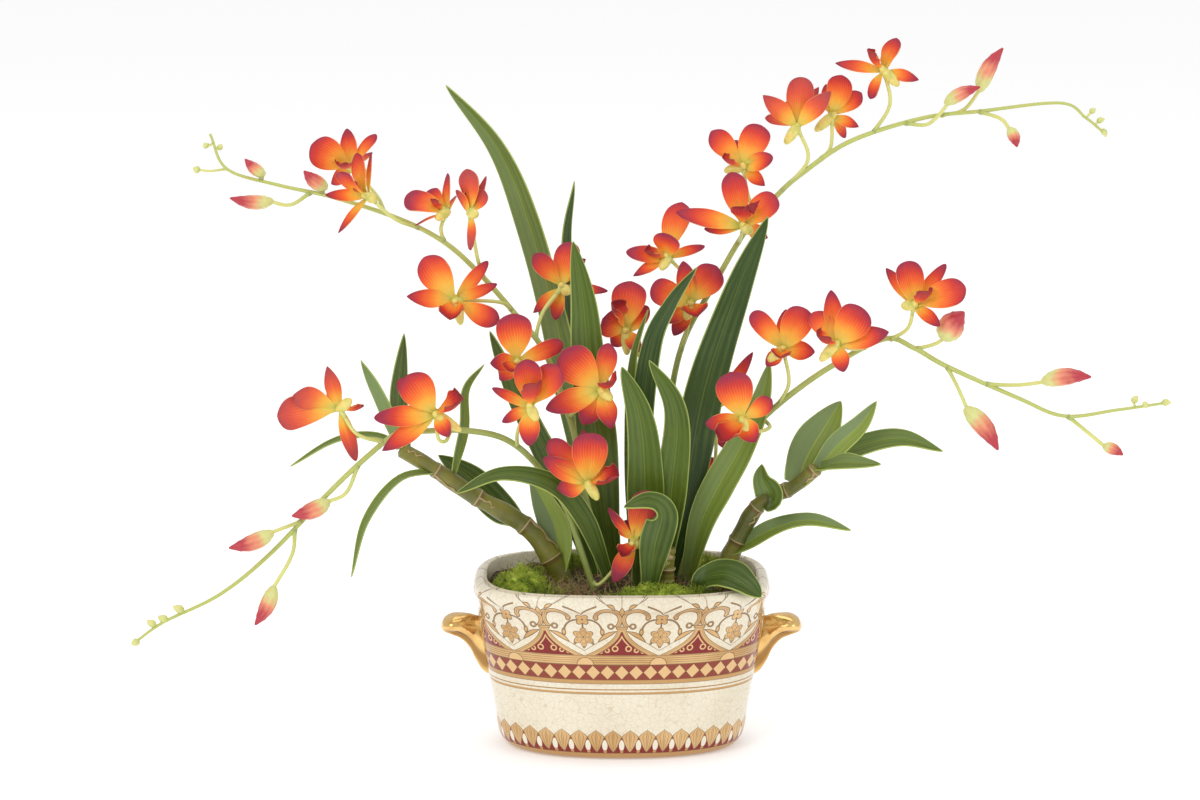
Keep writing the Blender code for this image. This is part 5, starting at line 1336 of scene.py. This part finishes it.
# Each bloom: its middle, where it looks, the pixels of its stalk, and its parts. A petal, a sepal or the
# lip: the pixel of its tip, how far that lies behind the middle, and its width, in mm. The spur: the pixel
# of its end, and how far that lies behind the middle. red says how red the bloom is, from 0 to 1.
BLOOMS = {
    "bloom_1": {
        "at": (352, 168, 40), "look": (-30, 20), "stalk": ((385, 213), (377, 196)),
        "petals": ((311, 145, -8, 24), (376, 134, 4, 9)),
        "sepals": ((346.5, 128.5, 6, 14), (331, 184, 14, 12), (372, 152, 18, 8)),
        "lip": (338, 165, -14, 14), "spur": (371, 176, 4), "red": 0.12,
    },
    "bloom_2": {
        "at": (368, 196, 8), "look": (-50, 15), "stalk": ((418, 231), (395, 219)),
        "petals": ((356, 153, 2, 16), (340, 172, -14, 17)),
        "sepals": ((325, 195, -2, 9), (338, 233, 4, 8), (371, 152, 14, 5)),
        "lip": (347, 183, -4, 13), "spur": (377, 201, 3), "red": 0.15,
    },
    "bloom_3": {
        "at": (447, 212, 14), "look": (-70, 40), "stalk": ((445, 242), (441, 228)),
        "petals": ((404.5, 198, 4, 20), (427, 191, 12, 15)),
        "sepals": ((447.5, 173, 4, 10), (415, 225, -8, 7), (455, 196, 16, 10)),
        "lip": (430, 199, -4, 12), "spur": (436, 219, -6), "red": 0.45,
    },
    "bloom_4": {
        "at": (470, 213, -6), "look": (150, 30), "stalk": ((484, 275), (477, 256)),
        "petals": ((466, 169, 8, 19), (483, 190, 3, 13)),
        "sepals": ((470, 250, -7, 9), (486, 176, 10, 6), (456, 190, 12, 11)),
        "lip": (473, 190, 14, 13), "spur": (478, 215, -4), "red": 0.5,
    },
    "bloom_5": {
        "at": (456, 300, 0), "look": (-12, -4), "stalk": ((513, 309), (499, 302)),
        "petals": ((424, 257, -6, 25), (499, 322, -9, 17)),
        "sepals": ((407, 296, 2, 14), (488, 261, 6, 10), (497, 284, -3, 9)),
        "lip": (450, 319, -17, 18), "spur": (461, 325, -3), "red": 0.12,
    },
    "bloom_6": {
        "at": (517, 361, -12), "look": (-5, 2), "stalk": ((555, 379), (540, 372)),
        "petals": ((513, 313.5, -6, 26), (563, 343, -4, 13)),
        "sepals": ((490, 363, -6, 14), (500, 380, 8, 12), (540, 386, -5, 12)),
        "lip": (511, 371, -18, 16), "spur": (520, 368, 8), "red": 0.3,
    },
    "bloom_7": {
        "at": (530, 407, -44), "look": (-5, 35), "stalk": ((515.5, 447), (518, 430)),
        "petals": ((527, 359, -10, 20), (559, 366, -6, 22)),
        "sepals": ((492, 388, 0, 8), (502, 422, 6, 9), (529, 446, -2, 15)),
        "lip": (537, 383, -18, 18), "spur": (537, 421, -4), "red": 0.25,
    },
    "bloom_8": {
        "at": (601, 390, -26), "look": (10, 4), "stalk": ((568, 418), (580, 408)),
        "petals": ((562, 351, -6, 28), (609, 343, 4, 15)),
        "sepals": ((546, 409, -8, 18), (583, 424, 2, 18), (612, 429, -2, 15)),
        "lip": (616, 380, -15, 20), "spur": (612, 400, -3), "red": 0.35,
    },
    "bloom_9": {
        "at": (562, 287, 24), "look": (-10, 30), "stalk": ((540, 335), (543, 312)),
        "petals": ((534, 254, -8, 15), (570, 242, 2, 19)),
        "sepals": ((533, 313, 8, 10), (555, 319, 12, 11), (608, 291, 8, 8)),
        "lip": (586, 259, -4, 13), "spur": (570, 294, -2), "red": 0.3,
    },
    "bloom_10": {
        "at": (588, 483, -38), "look": (12, 6), "stalk": ((581, 476), (584, 480)),
        "petals": ((590, 433, -8, 26), (549, 440, 0, 17)),
        "sepals": ((543, 458, -6, 15), (557, 489, 2, 16), (583, 429, 12, 13)),
        "lip": (618, 476, -14, 20), "spur": (598, 500, -5), "red": 0.4,
    },
    "bloom_11": {
        "at": (626, 331, 28), "look": (-12, 18), "stalk": ((672, 385), (650, 372)),
        "petals": ((631, 281, 2, 26), (603, 319, -8, 22)),
        "sepals": ((648, 306, 6, 15), (612, 345, 6, 13), (640, 352, -10, 11)),
        "lip": (611, 302, -10, 20), "spur": (627, 355, 2), "red": 0.45,
    },
    "bloom_12": {
        "at": (691, 303, 20), "look": (-5, 5), "stalk": ((681, 350), (687, 330)),
        "petals": ((717, 266, -2, 23), (651, 287, -4, 20)),
        "sepals": ((683, 261, -6, 15), (662, 322, 2, 14), (674, 335, 8, 13)),
        "lip": (697, 316, -15, 19), "spur": (686, 320, -3), "red": 0.3,
    },
    "bloom_13": {
        "at": (668, 257, 20), "look": (-25, 30), "stalk": ((706, 297), (693, 283)),
        "petals": ((682, 202, 10, 22), (668, 234, -12, 22)),
        "sepals": ((626, 252, -4, 13), (633, 276, 0, 9), (705, 246, 2, 8)),
        "lip": (645, 251, -10, 14), "spur": (661, 270, -4), "red": 0.3,
    },
    "bloom_14": {
        "at": (743, 226, 8), "look": (-6, 30), "stalk": ((739, 243), (741, 236)),
        "petals": ((731, 172, -2, 19), (776, 196, -4, 20)),
        "sepals": ((676, 212, -4, 14), (704, 229, 4, 11), (768, 238, 10, 12)),
        "lip": (747, 205, -17, 20), "spur": (752, 233, -4), "red": 0.25,
    },
    "bloom_15": {
        "at": (743, 167, 26), "look": (-8, 25), "stalk": ((757, 216), (748, 195)),
        "petals": ((711, 131, -2, 17), (761, 125, 2, 22)),
        "sepals": ((773, 157, -8, 14), (765, 186, 0, 10), (735, 140, 12, 12)),
        "lip": (722, 158, -12, 14), "spur": (724, 171, -2), "red": 0.12,
    },
    "bloom_16": {
        "at": (797, 127, 34), "look": (175, 25), "stalk": ((781, 192), (808, 160)),
        "petals": ((802, 77, 6, 20), (765, 118, 14, 9)),
        "sepals": ((763, 95, -4, 15), (831, 91, -4, 15), (819, 87, 16, 11)),
        "lip": (792, 100, 16, 15), "spur": (785, 144, 0), "red": 0.3,
    },
    "bloom_17": {
        "at": (832, 116, 54), "look": (20, 25), "stalk": ((823, 160), (831, 146)),
        "petals": ((842, 75, -2, 20), (862, 93, 6, 13)),
        "sepals": ((859, 127, 0, 9), (826, 84, 10, 12), (845, 137, 14, 9)),
        "lip": (822, 98, 8, 13), "spur": (815, 131, -2), "red": 0.1,
    },
    "bloom_18": {
        "at": (884, 71, 40), "look": (-35, 40), "stalk": ((873, 132), (890, 104)),
        "petals": ((897, 38, -2, 15), (870, 99, -2, 10)),
        "sepals": ((835, 63, -4, 10), (919, 80, 2, 10), (892, 44, 14, 11)),
        "lip": (868, 50, -10, 15), "spur": (899, 86, 0), "red": 0.3,
    },
    "bloom_19": {
        "at": (783, 349, -8), "look": (0, 20), "stalk": ((779, 403), (789, 382)),
        "petals": ((752, 312, -4, 15), (805, 308, -4, 22)),
        "sepals": ((786, 309, 10, 12), (815, 352, 4, 14), (766, 366, -4, 11)),
        "lip": (780, 357, -18, 14), "spur": (768, 361, -4), "red": 0.15,
    },
    "bloom_20": {
        "at": (836, 344, -26), "look": (5, 20), "stalk": ((866, 347), (852, 349)),
        "petals": ((863, 308, -4, 25), (813, 312, 6, 16)),
        "sepals": ((831, 290, 10, 14), (889, 332, 0, 16), (844, 372, 2, 13)),
        "lip": (818, 336, -14, 17), "spur": (820, 361, -3), "red": 0.2,
    },
    "bloom_21": {
        "at": (914, 305, -20), "look": (5, 30), "stalk": ((890, 339), (908, 328)),
        "petals": ((907, 261, -4, 20), (966, 288, -6, 21)),
        "sepals": ((886, 268, 6, 10), (946, 264, 12, 10), (940, 326, -4, 10)),
        "lip": (931, 291, -16, 16), "spur": (901, 306, 0), "red": 0.25,
    },
    "bloom_22": {
        "at": (742, 419, -42), "look": (-8, -8), "stalk": ((763, 420), (770, 427), (757, 431)),
        "petals": ((731, 372, -4, 27), (772, 399, 2, 14)),
        "sepals": ((706, 424, -4, 14), (756, 442, -8, 16), (724, 436, 8, 14)),
        "lip": (721, 441, -17, 18), "spur": (748, 432, -3), "red": 0.3,
    },
    "bloom_23": {
        "at": (714, 413, 34), "look": (8, 15), "stalk": ((712, 486), (716, 450)),
        "petals": ((706, 370, 2, 18), (735, 372, 4, 17)),
        "sepals": ((753, 352, 10, 10), (699, 452, 2, 12), (724, 448, 10, 13)),
        "lip": (694, 398, -10, 14), "spur": (705, 437, 2), "red": 0.45,
    },
    "bloom_24": {
        "at": (698, 486, 34), "look": (-4, 10), "stalk": ((717, 478), (710, 481)),
        "petals": ((718, 459, 0, 18), (686, 462, 0, 16)),
        "sepals": ((699, 518, 7, 17), (733, 480, 8, 14), (668, 488, 8, 14)),
        "lip": (700, 502, -15, 16), "spur": (693, 505, -2), "red": 0.5,
    },
    "bloom_25": {
        "at": (340, 409, -30), "look": (-150, 20), "stalk": ((382, 439), (357, 434)),
        "petals": ((277, 416, 0, 28), (293, 395, -8, 18)),
        "sepals": ((327, 366, 4, 12), (356, 461, 14, 11), (330, 384, 16, 11)),
        "lip": (363, 406, 8, 9), "spur": (351, 399, -4), "red": 0.35,
    },
    "bloom_26": {
        "at": (436, 414, -40), "look": (-5, 15), "stalk": ((450, 431), (446, 441), (438, 438)),
        "petals": ((407, 375, -6, 25), (398, 380, 6, 14)),
        "sepals": ((374, 418, -2, 15), (382, 451, 0, 14), (449, 437, -10, 12)),
        "lip": (462, 399, -13, 22), "spur": (461, 431, 0), "red": 0.25,
    },
    "bloom_27": {
        "at": (634, 541, -26), "look": (-20, -10), "stalk": ((590, 583), (600, 584), (620, 562)),
        "petals": ((650, 491, -4, 22), (625, 520, 6, 16)),
        "sepals": ((613, 583, -8, 14), (608, 508, 2, 8), (668, 536, 10, 12)),
        "lip": (622, 556, -12, 14), "spur": (640, 548, 0), "red": 0.6,
    },
}
STEM_LOW = (0.20, 0.25, 0.045)
STEM_HIGH = (0.48, 0.52, 0.14)
STALK_PALE = (0.66, 0.66, 0.21)
BUD_BASE = (0.66, 0.66, 0.25)
BUD_BLUSH = (0.78, 0.27, 0.15)
BUD_TIP = (0.48, 0.035, 0.055)
BRACT_TAN = (0.30, 0.27, 0.11)


def stem_curve(spray):
    return smooth_through(route_points(SPRAYS[spray]["stem"]), STEM_BENDS)


def pixel_of(point):
    """The pixel that shows this point."""
    away = point - EYE
    scale = VIEW_DISTANCE / METRES_PER_PIXEL / away.dot(FORWARD)
    return Vector((PIXEL_CENTRE[0] + away.dot(RIGHT) * scale, PIXEL_CENTRE[1] - away.dot(UP) * scale))


def nearest_on(curve, px, py):
    """The point of the curve that the picture shows nearest to this pixel."""
    shares = [k / NEAR_STEPS for k in range(NEAR_STEPS + 1)]
    points = [here.lerp(there, share) for here, there in zip(curve, curve[1:]) for share in shares]
    return min(points, key=lambda point: (pixel_of(point) - Vector((px, py))).length)


def stalk_curve(stem, route, end):
    """A stalk from the stem through the route's pixels to its end, its depth changing evenly."""
    start = nearest_on(stem, *(route[0] if route else pixel_of(end)))
    points = [start]
    for i, (px, py) in enumerate(route[1:]):
        share = (i + 1) / len(route)
        points.append(on_ray(px, py, (start.y + (end.y - start.y) * share) / MM))
    return smooth_through(points + [end], STALK_BENDS)


def stem_radius(u):
    """The stem's radius in mm at this share of its length."""
    return STEM_RADIUS * (1 - 0.6 * u**1.9)


def bud_rod(base, tip, width):
    """A closed bud: swollen near its base, drawn out and slightly bent towards its tip."""
    line, radii, k = [], [], 0
    bend = (tip - base).cross(FORWARD).normalized() * (tip - base).length * BUD_BEND
    for i in range(BUD_ROWS + 1):
        u = i / BUD_ROWS
        while BUD_SHAPE[k + 1][0] < u:
            k += 1
        (low, thin), (high, thick) = BUD_SHAPE[k], BUD_SHAPE[k + 1]
        radii.append(width / 2 * (thin + (thick - thin) * eased((u - low) / (high - low))))
        line.append(base.lerp(tip, u) + bend * math.sin(math.pi * u))
    return rod(line, radii, BUD_ROUND)


def stalk_rod(curve, radius, end=1.0):
    """A stalk, thicker where it leaves the stem."""
    shares = [end * i / STALK_STEPS for i in range(STALK_STEPS + 1)]
    radii = [radius * (1 + STALK_FLARE * math.exp(-FLARE_FADE * u)) for u in shares]
    return rod(points_at(curve, shares), radii, STALK_ROUND)


def bract(curve):
    """The small dry sheath round the foot of a stalk."""
    length = lengths_along(curve)[-1] / MM
    steps, radii = zip(*BRACT)
    return rod(points_at(curve, [step / length for step in steps]), radii, BRACT_ROUND)


def stem_skin(name, first, last, rough):
    """Smooth waxy skin that pales from its foot to its tip."""
    finish, shader, place = new_finish(
        name, Subsurface_Weight=0.15, Subsurface_Scale=0.002, Coat_Weight=0.15
    )
    cloud = place.noise(75.0, 3.0)
    share = (place.along() * 1.5 + (cloud - 0.5) * 0.5).clipped()
    feed(shader, Base_Color=share.ramp((0.0, first), (1.0, last)), Roughness=rough + cloud * 0.15)
    feed(shader, Normal=cloud.bumped(0.2 * MM))
    return finish


def bud_skin():
    """Yellow-green at the base, blushing to crimson at the tip, with faint ribs."""
    finish, shader, place = new_finish(
        "bud_skin", Subsurface_Weight=0.2, Subsurface_Scale=0.003, Coat_Weight=0.1
    )
    cloud = place.noise(120.0, 3.0)
    ribs = (place.across() * math.tau * 9).sine() * 0.5 + 0.5
    blush = place.along() + (cloud - 0.5) * 0.35 + ribs * 0.06
    shades = blush.ramp((0.1, BUD_BASE), (0.28, BUD_BASE), (0.5, BUD_BLUSH), (0.78, BUD_TIP))
    feed(shader, Base_Color=shades, Roughness=0.42 + cloud * 0.15, Normal=(ribs + cloud).bumped(0.2 * MM))
    return finish


stem_finish = stem_skin("stem_skin", STEM_LOW, STEM_HIGH, 0.38)
stalk_finish = stem_skin("stalk_skin", STEM_HIGH, STALK_PALE, 0.4)
bud_finish = bud_skin()
young_finish = stem_skin("young_bud_skin", STEM_HIGH, BUD_BASE, 0.4)
bract_finish = stem_skin("bract_skin", BRACT_TAN, STEM_HIGH, 0.6)
for name, spray in SPRAYS.items():
    stem = stem_curve(name)
    fine = smooth_through(route_points(spray["stem"]), FINE_BENDS)
    run = lengths_along(fine)
    radii = [STEM_RADIUS] + [stem_radius(distance / run[-1]) for distance in run]
    parts = [(rod([buried_end(fine[0])] + fine, radii, STEM_ROUND), stem_finish)]
    for route, base, tip, width in spray["buds"]:
        base, tip = (seen(px, py, depth + BUD_BACK) for px, py, depth in (base, tip))
        small = width < SMALL_BUD
        parts.append((bud_rod(base, tip, width), young_finish if small else bud_finish))
        carrier = stalk_curve(stem, route, base.lerp(tip, BUD_SUNK))
        parts.append((stalk_rod(carrier, SMALL_STALK_RADIUS if small else STALK_RADIUS), stalk_finish))
        if not small:
            parts.append((bract(carrier), bract_finish))
    for bloom in spray["blooms"]:
        curve = stalk_curve(stem, BLOOMS[bloom]["stalk"], seen(*BLOOMS[bloom]["at"]))
        end = 1 - OVARY * MM / lengths_along(curve)[-1]
        parts += [(stalk_rod(curve, STALK_RADIUS, end), stalk_finish), (bract(curve), bract_finish)]
    finish_piece(name + "_grown", parts, "stem", name)

# The blooms: thin waxy petals, yellow-green at the heart, then yellow and orange, with crimson to wine
# tips. Each has two broad petals, three narrower sepals, a cupped frilled lip, a column and a blunt spur.
CLAW = 0.2
PETAL_THICK = 0.7
ROLL = 1.9
CREASE_SPREAD = 0.16
PETAL_ROWS = 26
PETAL_COLUMNS = 14
PETAL_VEINS = 80.0
OVARY_STEPS = 8
OVARY_ROUND, HEART_ROUND = 16, 18
# Rings of the column: how far in front of the bloom's middle, and their radius, in mm. Rings of the spur:
# their share of its length, and their radius in mm.
COLUMN = ((-2.0, 2.2), (0.0, 2.9), (1.6, 2.9), (3.2, 2.3), (4.6, 2.1), (5.6, 1.5), (6.1, 0.6))
SPUR = ((0.0, 3.2), (0.25, 3.9), (0.5, 3.9), (0.75, 3.2), (0.92, 2.1), (1.0, 0.9))
# Each kind of petal: bow, cup and the lift of its root in mm, how far its edge ripples, how many times,
# and how deep its middle is creased.
PETAL_KINDS = {
    "sepals": (1.2, 0.16, -0.8, 0.08, 2.0, 0.10),
    "petals": (2.0, 0.2, 0.7, 0.11, 2.6, 0.07),
    "lip": (-2.5, 0.7, 1.4, 0.16, 5.0, 0.05),
}
PETAL_STOPS = (
    (0.02, (0.50, 0.50, 0.09)), (0.18, (0.76, 0.56, 0.10)), (0.38, (0.90, 0.40, 0.045)),
    (0.57, (0.85, 0.15, 0.025)), (0.75, (0.60, 0.045, 0.028)), (0.92, (0.30, 0.028, 0.062)),
)
PETAL_BACK = (0.72, 0.15, 0.09)
PETAL_EDGE = (0.90, 0.42, 0.10)
LIP_STOPS = (
    (0.05, (0.88, 0.50, 0.06)), (0.35, (0.90, 0.26, 0.03)), (0.6, (0.60, 0.035, 0.02)),
    (0.9, (0.22, 0.01, 0.025)),
)
HEART_STOPS = ((0.25, (0.50, 0.50, 0.10)), (0.55, (0.78, 0.66, 0.18)), (0.8, (0.80, 0.42, 0.08)))


def petal_width(u, point):
    """A petal's width at this share of its length, against its widest. point draws its tip out."""
    return max(1 - abs(2 * u**1.8 - 1) ** 2.2, 0.0) ** (0.45 + 0.3 * point)


def sepal_width(u, point):
    return max(1 - abs(2 * u**1.1 - 1) ** 1.7, 0.0) ** (0.55 + 0.35 * point)


def one_petal(name, kind, number, row):
    """One petal, sepal or lip, its root sunk in the bloom's heart."""
    bow, cup, lift, ripple, waves, crease = PETAL_KINDS[kind]
    bloom = BLOOMS[name]
    middle, look = seen(*bloom["at"]), direction(*bloom["look"])
    px, py, deeper, width = row
    tip = seen(px, py, bloom["at"][2] + deeper)
    if kind == "lip":
        look = (look * 0.5 + Vector((0, 0, 1))).normalized()
    root = middle + look * (lift * MM)
    ahead = (tip - root).normalized()
    out = (look - ahead * look.dot(ahead)).normalized()
    bend = (root + tip) / 2 + out * (bow * MM * 2)
    shares = tip_shares(PETAL_ROWS, 1.7)
    line = [root * (1 - u) ** 2 + bend * (2 * u * (1 - u)) + tip * u**2 for u in shares]
    outline = sepal_width if kind == "sepals" else petal_width
    phase = number * 1.7 + px * 0.37
    point = 0.5 + 0.5 * math.sin(phase * 2.3)
    halves = [width / 2 * MM * max(outline(u, point), CLAW * (1 - u**8)) for u in shares]

    def rise(u, s):
        edge = ripple * s * s * u * math.sin(waves * math.tau * u * 0.5 + phase + 1.5 * s)
        fold = crease * math.exp(-((s / CREASE_SPREAD) ** 2)) * math.sin(math.pi * min(u * 1.1, 1))
        rolled = cup * (1 - ROLL * u * u) if kind != "lip" else cup
        return rolled * s * s + edge - fold + 0.05 * s * math.sin(4 * u + phase)

    marks = {"red": bloom["red"] + 0.12 * math.sin(phase * 5), "sepal": float(kind == "sepals")}
    return blade(line, shares, halves, [look] * len(shares), rise, PETAL_COLUMNS, PETAL_THICK, marks)


def petal_skin(name, stops, back):
    """Satin petal tissue: colours that run from heart to tip and follow the veins."""
    finish, shader, place = new_finish(
        name, Subsurface_Weight=0.25, Subsurface_Scale=0.003, Specular_IOR_Level=0.25
    )
    across, along = place.across(), place.along()
    away = abs(across - 0.5) * 2
    cloud = place.noise(55.0, 3.0)
    vein = ((across - 0.5) * PETAL_VEINS + cloud * 12.0).sine() * 0.5 + 0.5
    red, under, sepal, edge = (place.mark(word) for word in ("red", "under", "sepal", "edge"))
    share = along * 0.86 + away.squared() * 0.10 * along.step(0.1, 0.5)
    share = share + (cloud - 0.5) * 0.22 + (vein - 0.5) * 0.06
    share = share + red * 0.26 * along.step(0.0, 0.35) + sepal * 0.07 * along
    share = share + (1 - edge.step(0.1, 1.1)) * 0.10 * along.step(0.3, 0.7)
    rim = (1 - edge.step(0.1, 0.5)) * (1 - along.step(0.7, 0.92)) * along.step(0.25, 0.5)
    colour = share.clipped().ramp(*stops).mix(PETAL_EDGE, rim * 0.55)
    colour = colour.mix(PETAL_BACK, under * back * along.step(0.25, 0.7))
    feed(shader, Base_Color=colour, Roughness=0.45 + vein * 0.08 + cloud * 0.1)
    feed(shader, Normal=(vein * 0.6 + cloud).bumped(0.14 * MM))
    return finish


def heart_skin():
    """The waxy tissue of the column and the spur, in patches of green, yellow and orange."""
    finish, shader, place = new_finish(
        "heart_skin", Subsurface_Weight=0.25, Subsurface_Scale=0.003, Coat_Weight=0.2
    )
    cloud = place.noise(150.0, 3.0)
    feed(shader, Base_Color=cloud.ramp(*HEART_STOPS), Roughness=0.36 + cloud * 0.15)
    feed(shader, Normal=cloud.bumped(0.2 * MM))
    return finish


petal_finish = petal_skin("petal_skin", PETAL_STOPS, 0.35)
lip_finish = petal_skin("lip_skin", LIP_STOPS, 0.2)
heart_finish = heart_skin()
for name, bloom in BLOOMS.items():
    middle, look = seen(*bloom["at"]), direction(*bloom["look"])
    parts = []
    for kind in ("sepals", "petals"):
        parts += [(one_petal(name, kind, *row), petal_finish) for row in enumerate(bloom[kind])]
    parts.append((one_petal(name, "lip", 0, bloom["lip"]), lip_finish))

    steps, radii = zip(*COLUMN)
    parts.append((rod([middle + look * (step * MM) for step in steps], radii, HEART_ROUND), heart_finish))
    px, py, deeper = bloom["spur"]
    end = seen(px, py, bloom["at"][2] + deeper)
    shares, radii = zip(*SPUR)
    parts.append((rod([middle.lerp(end, share) for share in shares], radii, HEART_ROUND), heart_finish))

    spray = next(key for key, value in SPRAYS.items() if name in value["blooms"])
    stalk = stalk_curve(stem_curve(spray), bloom["stalk"], middle)
    start = 1 - (OVARY + 1) * MM / lengths_along(stalk)[-1]
    shares = [i / OVARY_STEPS for i in range(OVARY_STEPS + 1)]
    line = points_at(stalk, [start + (1 - start) * share for share in shares])
    parts.append((rod(line, [1.15 + 1.5 * share**1.5 for share in shares], OVARY_ROUND), stalk_finish))
    finish_piece(name + "_open", parts, "petal", name)
